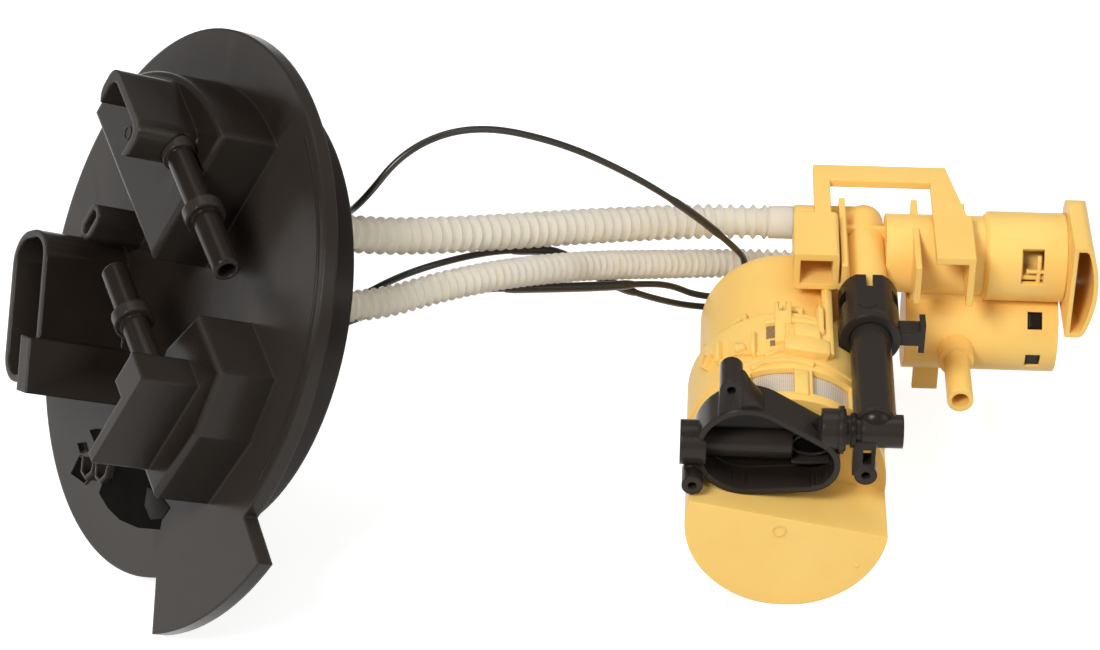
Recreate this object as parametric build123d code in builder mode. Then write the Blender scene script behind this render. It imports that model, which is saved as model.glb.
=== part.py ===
"""Fuel pump module: a tank cover joined by two hoses and three leads to a pump unit.

Frame: millimetres, +Z up.  The module lies as on a bench: the pump pot lies on its
side with its end plate facing -Y, and the tank cover leans on its rim to the left.
"""
import os
from math import cos, radians, sin, tan

from build123d import *

os.makedirs("parts", exist_ok=True)

# ---------------------------------------------------------------- driving sizes
# Places of the two halves of the module on the bench
pot_x = 70.65
pot_y = -41.25
cover_left_of_pot = 181.4
cover_behind_end = 39.8
cover_pitch = 26.4
cover_yaw = 29.6
cover_turn = -12.9

# Tank cover
cover_radius = 81.5
cover_thickness = 4.5
skirt_radius = 67.0
skirt_wall = 2.6
skirt_depth = 19.2
tab_reach = 16.5
tab_from = -40.0
tab_to = -4.3
dome_height = 18.3
moulding_wall = 2.6
dome_radius = 65.5
block_height = 18.0
fence_height = 36.0
pocket_depth = 14.0

# Electrical socket of the cover
socket_long = 46.0
socket_wide = 22.0
socket_height = 27.5
socket_wall = 2.2
socket_floor = 6.0
socket_p = -26.2
socket_q = -32.3
socket_angle = -41.1
blade_count = 4
blade_pitch = 8.5
blade_wide = 2.8
blade_thick = 0.8
blade_long = 15.0

# Quick-connect nipples of the cover
nipple_radius = 3.95
nipple_bore = 2.5
nipple_collar = 5.8
nipple_collar_long = 4.0
supply_p = -9.0
supply_q = 51.0
supply_height = 22.6
supply_long = 55.0
supply_collar_at = 30.0
return_p = 46.0
return_q = 12.3
return_height = 27.5
return_long = 40.0
return_collar_at = 18.0

# Hoses and leads
supply_hose_radius = 5.5
return_hose_radius = 4.6
barb_radius = 3.6
barb_bore = 2.2
lead_radius = 1.05

# Pot: strainer cap in front, pump housing behind
pot_radius = 29.6
pot_wall = 2.0
cap_length = 66.0
ledge_depth = 22.0
ledge_height = pot_radius + 2.6
ledge_tilt = -11.0
housing_step = 3.6
housing_radius = pot_radius - housing_step
housing_overlap = 10.0
housing_from = cap_length - housing_overlap
pot_length = 107.0
housing_round = 6.0
mesh_thickness = 0.5
mesh_clearance = 0.1
window_count = 10
window_wide = 13.0
window_from = 26.0
window_to = 37.5

# Electric pump inside the pot
motor_radius = 19.0
motor_wall = 1.2
motor_from = 32.0
motor_to = 94.0
magnet_thickness = 3.2
air_gap = 0.6
shaft_radius = 1.6
shaft_clearance = 0.05
armature_long = 24.0
impeller_radius = 14.5
impeller_thickness = 3.6
running_gap = 0.3

outlet_radius = 4.0
outlet_bore = 2.6
outlet_to = 104.0

# Twin-barrel holder with its hanging bracket
duct_turn = 48.2
duct_stand_off = 7.16
duct_x = (pot_radius + duct_stand_off) * cos(radians(duct_turn))
duct_z = pot_radius + (pot_radius + duct_stand_off) * sin(radians(duct_turn))
duct_radius = 6.2
duct_from = 74.0
duct_to = 125.5
reg_y = 105.0
reg_z = duct_z - 0.8
reg_radius = 13.9
reg_neck_radius = 12.3
reg_from = 30.5
reg_step = 61.0
reg_to = 86.0
barrel_wall = 2.0
filt_y = 104.0
filt_z = pot_radius + 0.4
filt_radius = 13.7
filt_from = 38.0
filt_to = 85.5
bracket_top = duct_z + 15
bracket_plate = 2.4
inlet_y = 119.5
inlet_from = 2.5

hood_left = 86.3
hood_wide = 8.5
hood_low = 41.0
hood_high = 73.8
hood_front = 83.5
hood_back = 118.0
hood_wall = 1.4

# Suction jet pump
scoop_front = 7.5
scoop_back = 20.0
scoop_wall = 1.8
boss_radius = 3.3
boss_hole = 1.3
cross_y = 13.5
cross_z = pot_radius + 25.4
cross_radius = 4.9
pipe_radius = 6.2
pipe_wall = 1.4

# Quick connector on the jet pipe
conn_from = 56.0
conn_to = 79.0
conn_radius = 9.1
conn_flat = 8.2
conn_ring = 9.1
latch_from = 57.2
latch_inner = 8.0
latch_long = 6.0


# ---------------------------------------------------------------- working planes
def front(y):
    """Plane facing the end plate's side, y behind the end plate; local y is height."""
    return Plane(origin=(pot_x, pot_y + y, 0), x_dir=(1, 0, 0), z_dir=(0, -1, 0))


def level(z):
    """Plane facing up at height z, with its origin on the pot's axis at the end plate."""
    return Plane(origin=(pot_x, pot_y, z))


def turned(plane, x, y, angle):
    """The plane moved to its own x, y and turned about its normal."""
    across = plane.x_dir * cos(radians(angle)) + plane.y_dir * sin(radians(angle))
    return Plane(origin=plane.from_local_coords((x, y, 0)), x_dir=across, z_dir=plane.z_dir)


cover_normal = (
    -cos(radians(cover_pitch)) * cos(radians(cover_yaw)),
    -cos(radians(cover_pitch)) * sin(radians(cover_yaw)),
    sin(radians(cover_pitch)),
)
cover_level = (sin(radians(cover_yaw)), -cos(radians(cover_yaw)), 0)
cover_height = cover_radius * cos(
    radians(cover_pitch)
) + cover_thickness * sin(radians(cover_pitch))
cover_centre = (pot_x - cover_left_of_pot, pot_y + cover_behind_end, cover_height)
cover_plane = Plane(origin=cover_centre, x_dir=cover_level, z_dir=cover_normal)
cover_plane = turned(cover_plane, 0, 0, cover_turn)


def on_cover(height):
    """Plane in the cover's own frame, height above its outer face."""
    return Plane.XY.offset(height)


def along_cover(p, q, height, direction):
    """Plane in the cover's own frame at p, q, height that faces along its first axis."""
    return Plane(origin=(p, q, height), x_dir=(0, 0, 1), z_dir=(direction, 0, 0))


pot_z = pot_radius


def finish(piece, label, place=None):
    """Stores the piece, moved first to place if it was drawn in a frame of its own."""
    part = piece.part.moved(place) if place else piece.part
    part.label = label
    export_step(part, f"parts/{label}.step")


# ---------------------------------------------------------------- tank cover
def wedge(start, stop, reach):
    """Triangle-like sector that keeps what lies between two directions."""
    middle = (start + stop) / 2
    corners = [(reach * cos(radians(a)), reach * sin(radians(a))) for a in (start, middle, stop)]
    return [(0, 0), *corners]


def dome_outline(inset):
    """Raised dome under the supply nipple: a strip cut off the cover by its own rim."""
    Circle(dome_radius - inset)
    with Locations((-60 + inset, 18.2 + inset)):
        Rectangle(65 - 2 * inset, 60, align=(Align.MIN, Align.MIN), mode=Mode.INTERSECT)


block_points = [(38, 27.5), (61, 27.5), (66.5, 8), (65, -18.5), (47, -18.5), (33, 9.6)]
fence_points = [(52.5, -16), (56.5, -16), (56.5, 17.5), (46, 17.5), (46, 6), (52.5, 6)]
pocket_turns = (-74.0, -40.0)
pocket_inner = 55.0
pocket_outer = 63.5

latch_bar_high = socket_wide / 2 + 6
latch_bar_points = [
    (10.5, socket_wide / 2 - 0.2),
    (27, socket_wide / 2 - 0.2),
    (28.4, latch_bar_high),
    (12, latch_bar_high),
]
latch_bar_height = 33.5

with BuildPart() as tank_cover:
    with BuildSketch(on_cover(-cover_thickness)):
        Circle(cover_radius)
    extrude(amount=cover_thickness)
    with BuildSketch(on_cover(-cover_thickness)):
        Circle(cover_radius + tab_reach)
        Polygon(*wedge(tab_from, tab_to, 2 * cover_radius), align=None, mode=Mode.INTERSECT)
    extrude(amount=cover_thickness)
    with BuildSketch(on_cover(-skirt_depth)):
        Circle(skirt_radius)
        Circle(skirt_radius - skirt_wall, mode=Mode.SUBTRACT)
    extrude(amount=skirt_depth - cover_thickness / 2)
    with BuildSketch(on_cover(-cover_thickness)):
        dome_outline(0)
    extrude(amount=cover_thickness + dome_height)
    with BuildSketch(on_cover(-cover_thickness)):
        Polygon(*block_points, align=None)
    extrude(amount=cover_thickness + block_height)
    with BuildSketch(on_cover(-cover_thickness / 2)):
        Polygon(*fence_points, align=None)
    extrude(amount=cover_thickness / 2 + fence_height)
    # the fence's own top comes last, so the two mouldings are the ones before it
    raised = tank_cover.faces().filter_by(Plane.XY).sort_by(Axis.Z)[-3:-1]
    raised_edges = [face.outer_wire().edges() for face in raised]
    for edges in raised_edges:
        fillet(edges, 1.6)
    # the mouldings are hollow from below
    with BuildSketch(on_cover(-cover_thickness)):
        dome_outline(moulding_wall)
    extrude(amount=cover_thickness + dome_height - moulding_wall, mode=Mode.SUBTRACT)
    with BuildSketch(on_cover(-cover_thickness)):
        Polygon(*block_points, align=None)
        offset(amount=-moulding_wall, mode=Mode.REPLACE)
    extrude(amount=cover_thickness + block_height - moulding_wall, mode=Mode.SUBTRACT)
    # arch over the root of the supply nipple
    with BuildSketch(on_cover(dome_height - 1)):
        with Locations((-17.5, 50.5)):
            RectangleRounded(29, 13, 5)
            with Locations((0, -4)):
                RectangleRounded(23, 15, 3.5, mode=Mode.SUBTRACT)
        with Locations((-17.5, 42)):
            Rectangle(30, 5, mode=Mode.SUBTRACT)
    extrude(amount=37 - dome_height + 1)
    # electrical socket with its latch block
    socket_plane = turned(Plane.XY, socket_p, socket_q, socket_angle)
    with BuildSketch(socket_plane):
        RectangleRounded(socket_long, socket_wide, socket_wide * 0.42)
        with Locations((10.5, socket_wide / 2 + 0.5)):
            Rectangle(10.5, 6.5, align=(Align.MIN, Align.MAX))
    extrude(amount=socket_height)
    with BuildSketch(socket_plane):
        Polygon(*latch_bar_points, align=None)
    extrude(amount=latch_bar_height)
    with BuildSketch(socket_plane.offset(socket_floor)):
        RectangleRounded(
            socket_long - 2 * socket_wall, socket_wide - 2 * socket_wall, socket_wide * 0.3
        )
    extrude(amount=socket_height, mode=Mode.SUBTRACT)
    # hose guide stub
    with BuildSketch(on_cover(0)):
        with Locations((-33.5, -2.5)):
            SlotOverall(12, 7.5, rotation=90)
            SlotOverall(8.5, 3.5, rotation=90, mode=Mode.SUBTRACT)
    extrude(amount=17.5)
    # pocket let into the cover, with its own floor below
    with BuildSketch(on_cover(-pocket_depth)):
        Circle(pocket_outer)
        Circle(pocket_inner, mode=Mode.SUBTRACT)
        Polygon(
            *wedge(pocket_turns[0] - 2, pocket_turns[1] + 2, 2 * cover_radius),
            align=None,
            mode=Mode.INTERSECT,
        )
    extrude(amount=pocket_depth - cover_thickness / 2)
    with BuildSketch(on_cover(0)):
        Circle(pocket_outer - 1.6)
        Circle(pocket_inner + 1.6, mode=Mode.SUBTRACT)
        Polygon(*wedge(*pocket_turns, 2 * cover_radius), align=None, mode=Mode.INTERSECT)
    extrude(amount=-(pocket_depth - 2), mode=Mode.SUBTRACT)
    # seat of the supply nipple
    with BuildSketch(along_cover(supply_p, supply_q, supply_height, 1)):
        Circle(nipple_radius + 1)
    extrude(amount=8, mode=Mode.SUBTRACT)
finish(tank_cover, "tank_cover", cover_plane.location)

with BuildPart() as terminal_blades:
    with BuildSketch(socket_plane.offset(socket_floor)):
        with GridLocations(blade_pitch, 1, blade_count, 1):
            Rectangle(blade_thick, blade_wide)
    extrude(amount=blade_long)
finish(terminal_blades, "terminal_blades", cover_plane.location)


with BuildPart() as supply_nipple:
    base = along_cover(supply_p, supply_q, supply_height, 1)
    with BuildSketch(base):
        Circle(nipple_radius)
    extrude(amount=supply_long)
    with BuildSketch(base):
        Circle(nipple_radius + 1)
    extrude(amount=8)
    with BuildSketch(base.offset(supply_collar_at)):
        Circle(nipple_collar)
    extrude(amount=nipple_collar_long)
    fillet(
        supply_nipple.edges().filter_by(GeomType.CIRCLE).sort_by(
            Axis(base.origin, base.z_dir)
        )[-1],
        1.0,
    )
    with BuildSketch(base.offset(1.5)):
        Circle(nipple_bore)
    extrude(amount=supply_long, mode=Mode.SUBTRACT)
finish(supply_nipple, "supply_nipple", cover_plane.location)

with BuildPart() as return_nipple:
    base = along_cover(return_p, return_q, return_height, -1)
    with BuildSketch(base):
        Circle(nipple_radius)
    extrude(amount=return_long)
    with BuildSketch(base.offset(return_collar_at)):
        Circle(nipple_collar)
    extrude(amount=nipple_collar_long)
    fillet(
        return_nipple.edges().filter_by(GeomType.CIRCLE).sort_by(
            Axis(base.origin, base.z_dir)
        )[-1],
        1.0,
    )
    with BuildSketch(base.offset(1.5)):
        Circle(nipple_bore)
    extrude(amount=return_long, mode=Mode.SUBTRACT)
finish(return_nipple, "return_nipple", cover_plane.location)

# ---------------------------------------------------------------- strainer cap
def half_disc(radius, drop):
    """The part of a disc in the end plane that lies below the tilted ledge."""
    Circle(radius)
    with Locations(Location((0, ledge_height - pot_z - drop), ledge_tilt)):
        Rectangle(4 * radius, 2 * radius, align=(Align.CENTER, Align.MIN), mode=Mode.SUBTRACT)


def duct_axis(y):
    """Plane across the outlet duct and the jet pipe, y behind the end plate."""
    return Plane(origin=(pot_x + duct_x, pot_y + y, duct_z), x_dir=(1, 0, 0), z_dir=(0, -1, 0))


def pot_front(y):
    """Plane facing forwards with its origin on the pot's axis."""
    return Plane(origin=(pot_x, pot_y + y, pot_z), x_dir=(1, 0, 0), z_dir=(0, -1, 0))


clip_count = 10
clip_turn = 87.0
clip_wide = 6.0
clip_reach = 6.0
clip_from = cap_length - clip_reach
clip_to = cap_length + clip_reach
clip_thickness = 1.6
clip_clearance = 0.2
catch_from = cap_length + 1.5
catch_long = 2.4
window_turn = 100.0
cap_lip = 2.0

with BuildPart() as strainer_cap:
    with BuildSketch(pot_front(0)):
        half_disc(pot_radius, 0)
    extrude(amount=-ledge_depth)
    with BuildSketch(pot_front(ledge_depth)):
        Circle(pot_radius)
    extrude(amount=-(cap_length - ledge_depth))
    with BuildSketch(pot_front(pot_wall)):
        half_disc(pot_radius - pot_wall, pot_wall)
    extrude(amount=-ledge_depth, mode=Mode.SUBTRACT)
    with BuildSketch(pot_front(ledge_depth + pot_wall)):
        Circle(pot_radius - pot_wall)
    extrude(amount=-(cap_length - ledge_depth - pot_wall - cap_lip), mode=Mode.SUBTRACT)
    with BuildSketch(pot_front(cap_length + 1)):
        Circle(housing_radius + 0.1)
    extrude(amount=cap_lip + 2, mode=Mode.SUBTRACT)
    with BuildSketch(pot_front(window_from)):
        with PolarLocations(pot_radius, window_count, window_turn):
            Rectangle(9, window_wide)
    extrude(amount=-(window_to - window_from), mode=Mode.SUBTRACT)
    # snap arms that reach back over the housing, each with its catch window
    arm_middle = housing_radius + clip_clearance + clip_thickness / 2
    with BuildSketch(pot_front(clip_from)):
        with PolarLocations(arm_middle, clip_count, clip_turn):
            Rectangle(clip_thickness, clip_wide)
    extrude(amount=-(clip_to - clip_from))
    with BuildSketch(pot_front(catch_from)):
        with PolarLocations(arm_middle, clip_count, clip_turn):
            Rectangle(2 * clip_thickness, clip_wide - 2.6)
    extrude(amount=-catch_long, mode=Mode.SUBTRACT)
    # raised rib round the windows and the guide pad above them
    with BuildSketch(pot_front(window_to + 3)):
        Circle(pot_radius + 0.6)
        Circle(pot_radius - 1, mode=Mode.SUBTRACT)
        with Locations((0, -pot_radius)):
            Rectangle(2.4 * pot_radius, 1.4 * pot_radius, mode=Mode.SUBTRACT)
    extrude(amount=-2)
    with BuildSketch(pot_front(window_to + 8)):
        with PolarLocations(pot_radius, 1, 80):
            Rectangle(3.2, 13)
    extrude(amount=-12)
    # notch in the rim that leaves room for the quick connector
    with BuildSketch(duct_axis(conn_from - 1)):
        Circle(conn_radius + 0.5)
    extrude(amount=-(clip_to - conn_from + 2), mode=Mode.SUBTRACT)
finish(strainer_cap, "strainer_cap")

with BuildPart() as strainer_mesh:
    with BuildSketch(pot_front(ledge_depth + pot_wall + mesh_clearance)):
        Circle(pot_radius - pot_wall - mesh_clearance)
        Circle(pot_radius - pot_wall - mesh_clearance - mesh_thickness, mode=Mode.SUBTRACT)
    extrude(amount=-(window_to + 1.5 - ledge_depth - pot_wall))
finish(strainer_mesh, "strainer_mesh")

# ---------------------------------------------------------------- pump housing
rail_x = 11.5
rail_top = duct_z + 2.0
rest_turns = (-102.0, -78.0)

with BuildPart() as pump_housing:
    with BuildSketch(pot_front(housing_from)):
        Circle(housing_radius)
    extrude(amount=-(pot_length - housing_from))
    fillet(pump_housing.edges().filter_by(GeomType.CIRCLE).sort_by(Axis.Y)[-1], housing_round)
    with BuildSketch(pot_front(housing_from)):
        Circle(pot_radius - pot_wall - 0.1)
    extrude(amount=-2.5)
    # two rest ribs underneath and the rail that carries the holder
    with BuildSketch(pot_front(cap_length + 8)):
        with PolarLocations(
            pot_radius - 3.2, 2, rest_turns[0], rest_turns[1] - rest_turns[0], endpoint=True
        ):
            Rectangle(6.4, 3)
    extrude(amount=-(pot_length - cap_length - 8 - housing_round))
    with BuildSketch(front(clip_to + 1)):
        with Locations((rail_x, rail_top)):
            Rectangle(2.2, 12, align=(Align.CENTER, Align.MAX))
    extrude(amount=-(pot_length - clip_to - 1 - housing_round))
    # catches under the snap arms
    with BuildSketch(pot_front(catch_from + 0.3)):
        with PolarLocations(housing_radius, clip_count, clip_turn):
            Rectangle(2.2, clip_wide - 3.4)
    extrude(amount=-(catch_long - 0.6))
    with BuildSketch(pot_front(housing_from)):
        Circle(housing_radius - pot_wall)
    extrude(amount=-(pot_length - housing_from - 2.5), mode=Mode.SUBTRACT)
    # slots for the terminals and the pump outlet in the back wall
    with BuildSketch(pot_front(pot_length - 4)):
        with Locations((-12, 2.4)):
            Rectangle(8, 5)
        with Locations((8, -6)):
            Circle(outlet_radius + 0.3)
    extrude(amount=-6, mode=Mode.SUBTRACT)
finish(pump_housing, "pump_housing")

# ---------------------------------------------------------------- electric pump
with BuildPart() as motor_can:
    with BuildSketch(pot_front(motor_from)):
        Circle(motor_radius)
        Circle(motor_radius - motor_wall, mode=Mode.SUBTRACT)
    extrude(amount=-(motor_to - motor_from))
finish(motor_can, "motor_can")

can_bore = motor_radius - motor_wall
magnet_bore = can_bore - magnet_thickness
armature_from = motor_from + 18.0
for number, turn in enumerate((0, 180)):
    with BuildPart() as magnet:
        with BuildSketch(pot_front(armature_from - 2)):
            Circle(can_bore)
            Circle(magnet_bore, mode=Mode.SUBTRACT)
            with Locations(Location((0, 0), turn)):
                Polygon(*wedge(-65, 65, 60), align=None, mode=Mode.INTERSECT)
        extrude(amount=-(armature_long + 4))
    finish(magnet, ("left_magnet", "right_magnet")[number])

shaft_from = motor_from + 1.5
shaft_to = motor_to - 5.0
with BuildPart() as armature:
    with BuildSketch(pot_front(armature_from)):
        Circle(magnet_bore - air_gap)
        with PolarLocations(magnet_bore, 8):
            Rectangle(5, 2.2, mode=Mode.SUBTRACT)
    extrude(amount=-armature_long)
    with BuildSketch(pot_front(armature_from + armature_long)):
        Circle(6)
    extrude(amount=-8.5)
    with BuildSketch(pot_front(shaft_from)):
        Circle(shaft_radius)
    extrude(amount=-(shaft_to - shaft_from))
finish(armature, "armature")

impeller_from = motor_from + 4.0
with BuildPart() as impeller:
    with BuildSketch(pot_front(impeller_from)):
        Circle(impeller_radius)
        Circle(shaft_radius, mode=Mode.SUBTRACT)
        with PolarLocations(impeller_radius, 24):
            Rectangle(3.4, 1.6, mode=Mode.SUBTRACT)
    extrude(amount=-impeller_thickness)
finish(impeller, "impeller")

with BuildPart() as pump_cover:
    with BuildSketch(pot_front(motor_from + 0.5)):
        Circle(can_bore)
        Circle(shaft_radius + shaft_clearance, mode=Mode.SUBTRACT)
        with Locations((9, 0)):
            Circle(3, mode=Mode.SUBTRACT)
    extrude(amount=-(impeller_from - running_gap - motor_from - 0.5))
finish(pump_cover, "pump_cover")

chamber_to = impeller_from + impeller_thickness + running_gap
with BuildPart() as pump_body:
    with BuildSketch(pot_front(impeller_from - running_gap)):
        Circle(can_bore)
        Circle(impeller_radius + running_gap, mode=Mode.SUBTRACT)
    extrude(amount=-(chamber_to - impeller_from + running_gap))
    with BuildSketch(pot_front(chamber_to)):
        Circle(can_bore)
        Circle(shaft_radius + shaft_clearance, mode=Mode.SUBTRACT)
        with Locations((-9, 0)):
            Circle(2.5, mode=Mode.SUBTRACT)
    extrude(amount=-4)
finish(pump_body, "pump_body")

brush_from = shaft_to - 6.0
with BuildPart() as brush_holder:
    with BuildSketch(pot_front(brush_from)):
        Circle(can_bore)
        Circle(shaft_radius + shaft_clearance, mode=Mode.SUBTRACT)
    extrude(amount=-(motor_to - brush_from))
    with BuildSketch(pot_front(motor_to)):
        with Locations((8, -6)):
            Circle(outlet_radius)
    extrude(amount=-(outlet_to - motor_to))
    with BuildSketch(pot_front(shaft_to)):
        Circle(shaft_radius + 0.6)
    extrude(amount=-(motor_to - shaft_to - 1.5), mode=Mode.SUBTRACT)
    with BuildSketch(pot_front(brush_from)):
        with Locations((8, -6)):
            Circle(outlet_bore)
    extrude(amount=-(motor_to - brush_from - 2), mode=Mode.SUBTRACT)
    with BuildSketch(pot_front(motor_to)):
        with Locations((8, -6)):
            Circle(outlet_bore)
    extrude(amount=-(outlet_to - motor_to), mode=Mode.SUBTRACT)
    with BuildSketch(pot_front(brush_from)):
        with Locations((8, -6)):
            Circle(1.6)
    extrude(amount=-(outlet_to - brush_from), mode=Mode.SUBTRACT)
finish(brush_holder, "brush_holder")

with BuildPart() as carbon_brushes:
    with BuildSketch(pot_front(brush_from - 5)):
        with Locations((-6 - 3.05, 0), (6 + 3.05, 0)):
            Rectangle(6, 4)
    extrude(amount=-5)
finish(carbon_brushes, "carbon_brushes")

with BuildPart() as outlet_check_valve:
    with BuildSketch(pot_front(motor_to + 0.02)):
        with Locations((8, -6)):
            Circle(outlet_bore - 0.08)
    extrude(amount=-2.5)
finish(outlet_check_valve, "outlet_check_valve")

with BuildPart() as motor_isolators:
    for ring_from in (housing_from + 3, motor_to - 8):
        with BuildSketch(pot_front(ring_from)):
            Circle(housing_radius - pot_wall)
            Circle(motor_radius, mode=Mode.SUBTRACT)
            with PolarLocations(housing_radius - pot_wall, 6):
                Circle(2.4, mode=Mode.SUBTRACT)
        extrude(amount=-4)
finish(motor_isolators, "motor_isolators")

# ---------------------------------------------------------------- twin-barrel holder
def reg_axis(x):
    """Plane across the regulator barrel, x to the right of the pot's axis."""
    return Plane(origin=(pot_x + x, pot_y + reg_y, reg_z), x_dir=(0, 1, 0), z_dir=(1, 0, 0))


def filt_axis(x):
    """Plane across the filter barrel, x to the right of the pot's axis."""
    return Plane(origin=(pot_x + x, pot_y + filt_y, filt_z), x_dir=(0, 1, 0), z_dir=(1, 0, 0))


lock_count = 6
lock_turn = 136.0
lock_wide = 5.6
lock_long = 4.6
lock_from = filt_to - 9.6
lock_clearance = 0.3
bar_y = (121.5, 130.5)
leg_front = 79.0
left_leg = (1.5, 13.2)
right_leg = (44.6, 56.5)
leg_break = 103.0
leg_wide = 6.5
bar_end = 49.9
channel_floor = rail_top + 0.2
channel_wall = 2.0
hook_drop = 17.5
fin_wall = 1.9
fins_x = (17.0, 39.5)
web_y = 108.0
web_height = 6.0
fin_top = duct_z + 11
port_from = 24.0
port_long = 24.0
port_y = 121.5
port_z = filt_z + 10
spout_x = 53.9
spout_tip = 63.6
spout_radius = 4.0
spout_bore = 2.6
spout_collar = 5.5

with BuildPart() as barrel_holder:
    # regulator barrel: a narrow neck, a short cone and a wide bore
    with BuildSketch(reg_axis(reg_from)):
        Circle(reg_neck_radius)
    extrude(amount=reg_step - reg_from)
    with BuildSketch(reg_axis(reg_step)):
        Circle(reg_radius)
    extrude(amount=reg_to - reg_step)
    step_edge = barrel_holder.edges().filter_by(
        lambda e: e.geom_type == GeomType.CIRCLE and e.radius > reg_neck_radius
    )
    chamfer(step_edge.sort_by(Axis.X)[0], 1.2)
    # filter barrel
    with BuildSketch(filt_axis(filt_from)):
        Circle(filt_radius)
    extrude(amount=filt_to - filt_from)
    # web between the barrels
    with BuildSketch(level(filt_z)):
        with Locations((filt_from + 1, filt_y)):
            Rectangle(reg_step - filt_from, 10, align=(Align.MIN, Align.CENTER))
    extrude(amount=reg_z - filt_z)
    # outlet duct with its domed end and the inlet stub for the supply hose
    with BuildSketch(duct_axis(duct_from)):
        Circle(duct_radius)
    extrude(amount=-(duct_to - duct_from))
    fillet(barrel_holder.edges().filter_by(GeomType.CIRCLE).sort_by(Axis.Y)[-1], duct_radius - 0.4)
    with BuildSketch(
        Plane(
            origin=(pot_x + inlet_from, pot_y + inlet_y, duct_z),
            x_dir=(0, 1, 0),
            z_dir=(1, 0, 0),
        )
    ):
        Circle(supply_hose_radius + 0.2)
    extrude(amount=duct_x - inlet_from)
    # hanging bracket: two legs and a bar, seen from above as a U
    with BuildSketch(level(bracket_top - bracket_plate)):
        with Locations(((left_leg[0] + leg_wide + bar_end) / 2, (bar_y[0] + bar_y[1]) / 2)):
            Rectangle(bar_end - left_leg[0] - leg_wide, bar_y[1] - bar_y[0])
        with BuildLine():
            Polyline(
                (left_leg[0], leg_front),
                (left_leg[1], leg_front),
                (left_leg[1], bar_y[1] - 1),
                (left_leg[0] + leg_wide, bar_y[1] - 1),
                (left_leg[0] + leg_wide, leg_break),
                (left_leg[0], leg_break),
                close=True,
            )
        make_face()
        with BuildLine():
            Polyline(
                (right_leg[0], leg_front),
                (right_leg[1], leg_front),
                (right_leg[1] - 1.5, leg_break),
                (bar_end, bar_y[1] - 1),
                (right_leg[0], bar_y[1] - 1),
                close=True,
            )
        make_face()
    extrude(amount=bracket_plate)
    # box channel under the left leg
    channel_high = bracket_top - channel_floor
    with BuildSketch(front(leg_front)):
        with Locations(((left_leg[0] + 15.3) / 2, (bracket_top + channel_floor) / 2)):
            RectangleRounded(15.3 - left_leg[0], channel_high, 1.5)
            Rectangle(
                15.3 - left_leg[0] - 2 * channel_wall,
                channel_high - 2 * channel_wall,
                mode=Mode.SUBTRACT,
            )
    extrude(amount=-(leg_break - leg_front))
    # hook plate under the right leg
    with BuildSketch(front(leg_front)):
        with Locations((right_leg[1], bracket_top)):
            Rectangle(channel_wall, hook_drop, align=(Align.MAX, Align.MAX))
    extrude(amount=-(leg_break - leg_front))
    # guide fins that stand on the duct and the neck
    with BuildSketch(front(leg_front)):
        with Locations((fins_x[0], fin_top)):
            Rectangle(fin_wall, fin_top - channel_floor, align=(Align.CENTER, Align.MAX))
        with Locations((fins_x[1], fin_top)):
            Rectangle(fin_wall, fin_top - duct_z + 2, align=(Align.CENTER, Align.MAX))
        with Locations((fins_x[0], channel_floor)):
            Rectangle(4, channel_wall, align=(Align.CENTER, Align.MIN))
    extrude(amount=-(117.5 - leg_front))
    # cross web joining duct, fins and bracket
    with BuildSketch(front(web_y)):
        with Locations((left_leg[0] + 7, duct_z)):
            Rectangle(right_leg[1] - left_leg[0] - 9, web_height, align=(Align.MIN, Align.MIN))
            Rectangle(
                left_leg[1] - left_leg[0] - 7,
                bracket_top - duct_z,
                align=(Align.MIN, Align.MIN),
            )
        with Locations((right_leg[0] + 1, duct_z)):
            Rectangle(
                right_leg[1] - right_leg[0] - 3,
                bracket_top - duct_z,
                align=(Align.MIN, Align.MIN),
            )
    extrude(amount=-fin_wall)
    # return port with the block that ties it to the web
    with BuildSketch(
        Plane(
            origin=(pot_x + port_from, pot_y + port_y, port_z), x_dir=(0, 1, 0), z_dir=(1, 0, 0)
        )
    ):
        Circle(return_hose_radius + 0.2)
    extrude(amount=port_long)
    with BuildSketch(level(port_z - 4)):
        with Locations((port_from + 17, filt_y)):
            Rectangle(8, port_y - filt_y, align=(Align.MIN, Align.MIN))
    extrude(amount=8)
    # spout of the filter barrel and the locating plate below it
    spout_root = filt_y - filt_radius + 1.5
    with BuildSketch(
        Plane(
            origin=(pot_x + spout_x, pot_y + filt_y, filt_z), x_dir=(1, 0, 0), z_dir=(0, -1, 0)
        )
    ):
        Circle(spout_radius)
    extrude(amount=filt_y - spout_tip)
    with BuildSketch(
        Plane(
            origin=(pot_x + spout_x, pot_y + spout_root, filt_z),
            x_dir=(1, 0, 0),
            z_dir=(0, -1, 0),
        )
    ):
        Circle(spout_collar)
    extrude(amount=7.5)
    with BuildSketch(front(filt_y - 4)):
        with Locations((46.2, 7.8)):
            Rectangle(8, filt_z - 7.8, align=(Align.CENTER, Align.MIN))
    extrude(amount=-fin_wall)
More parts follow.
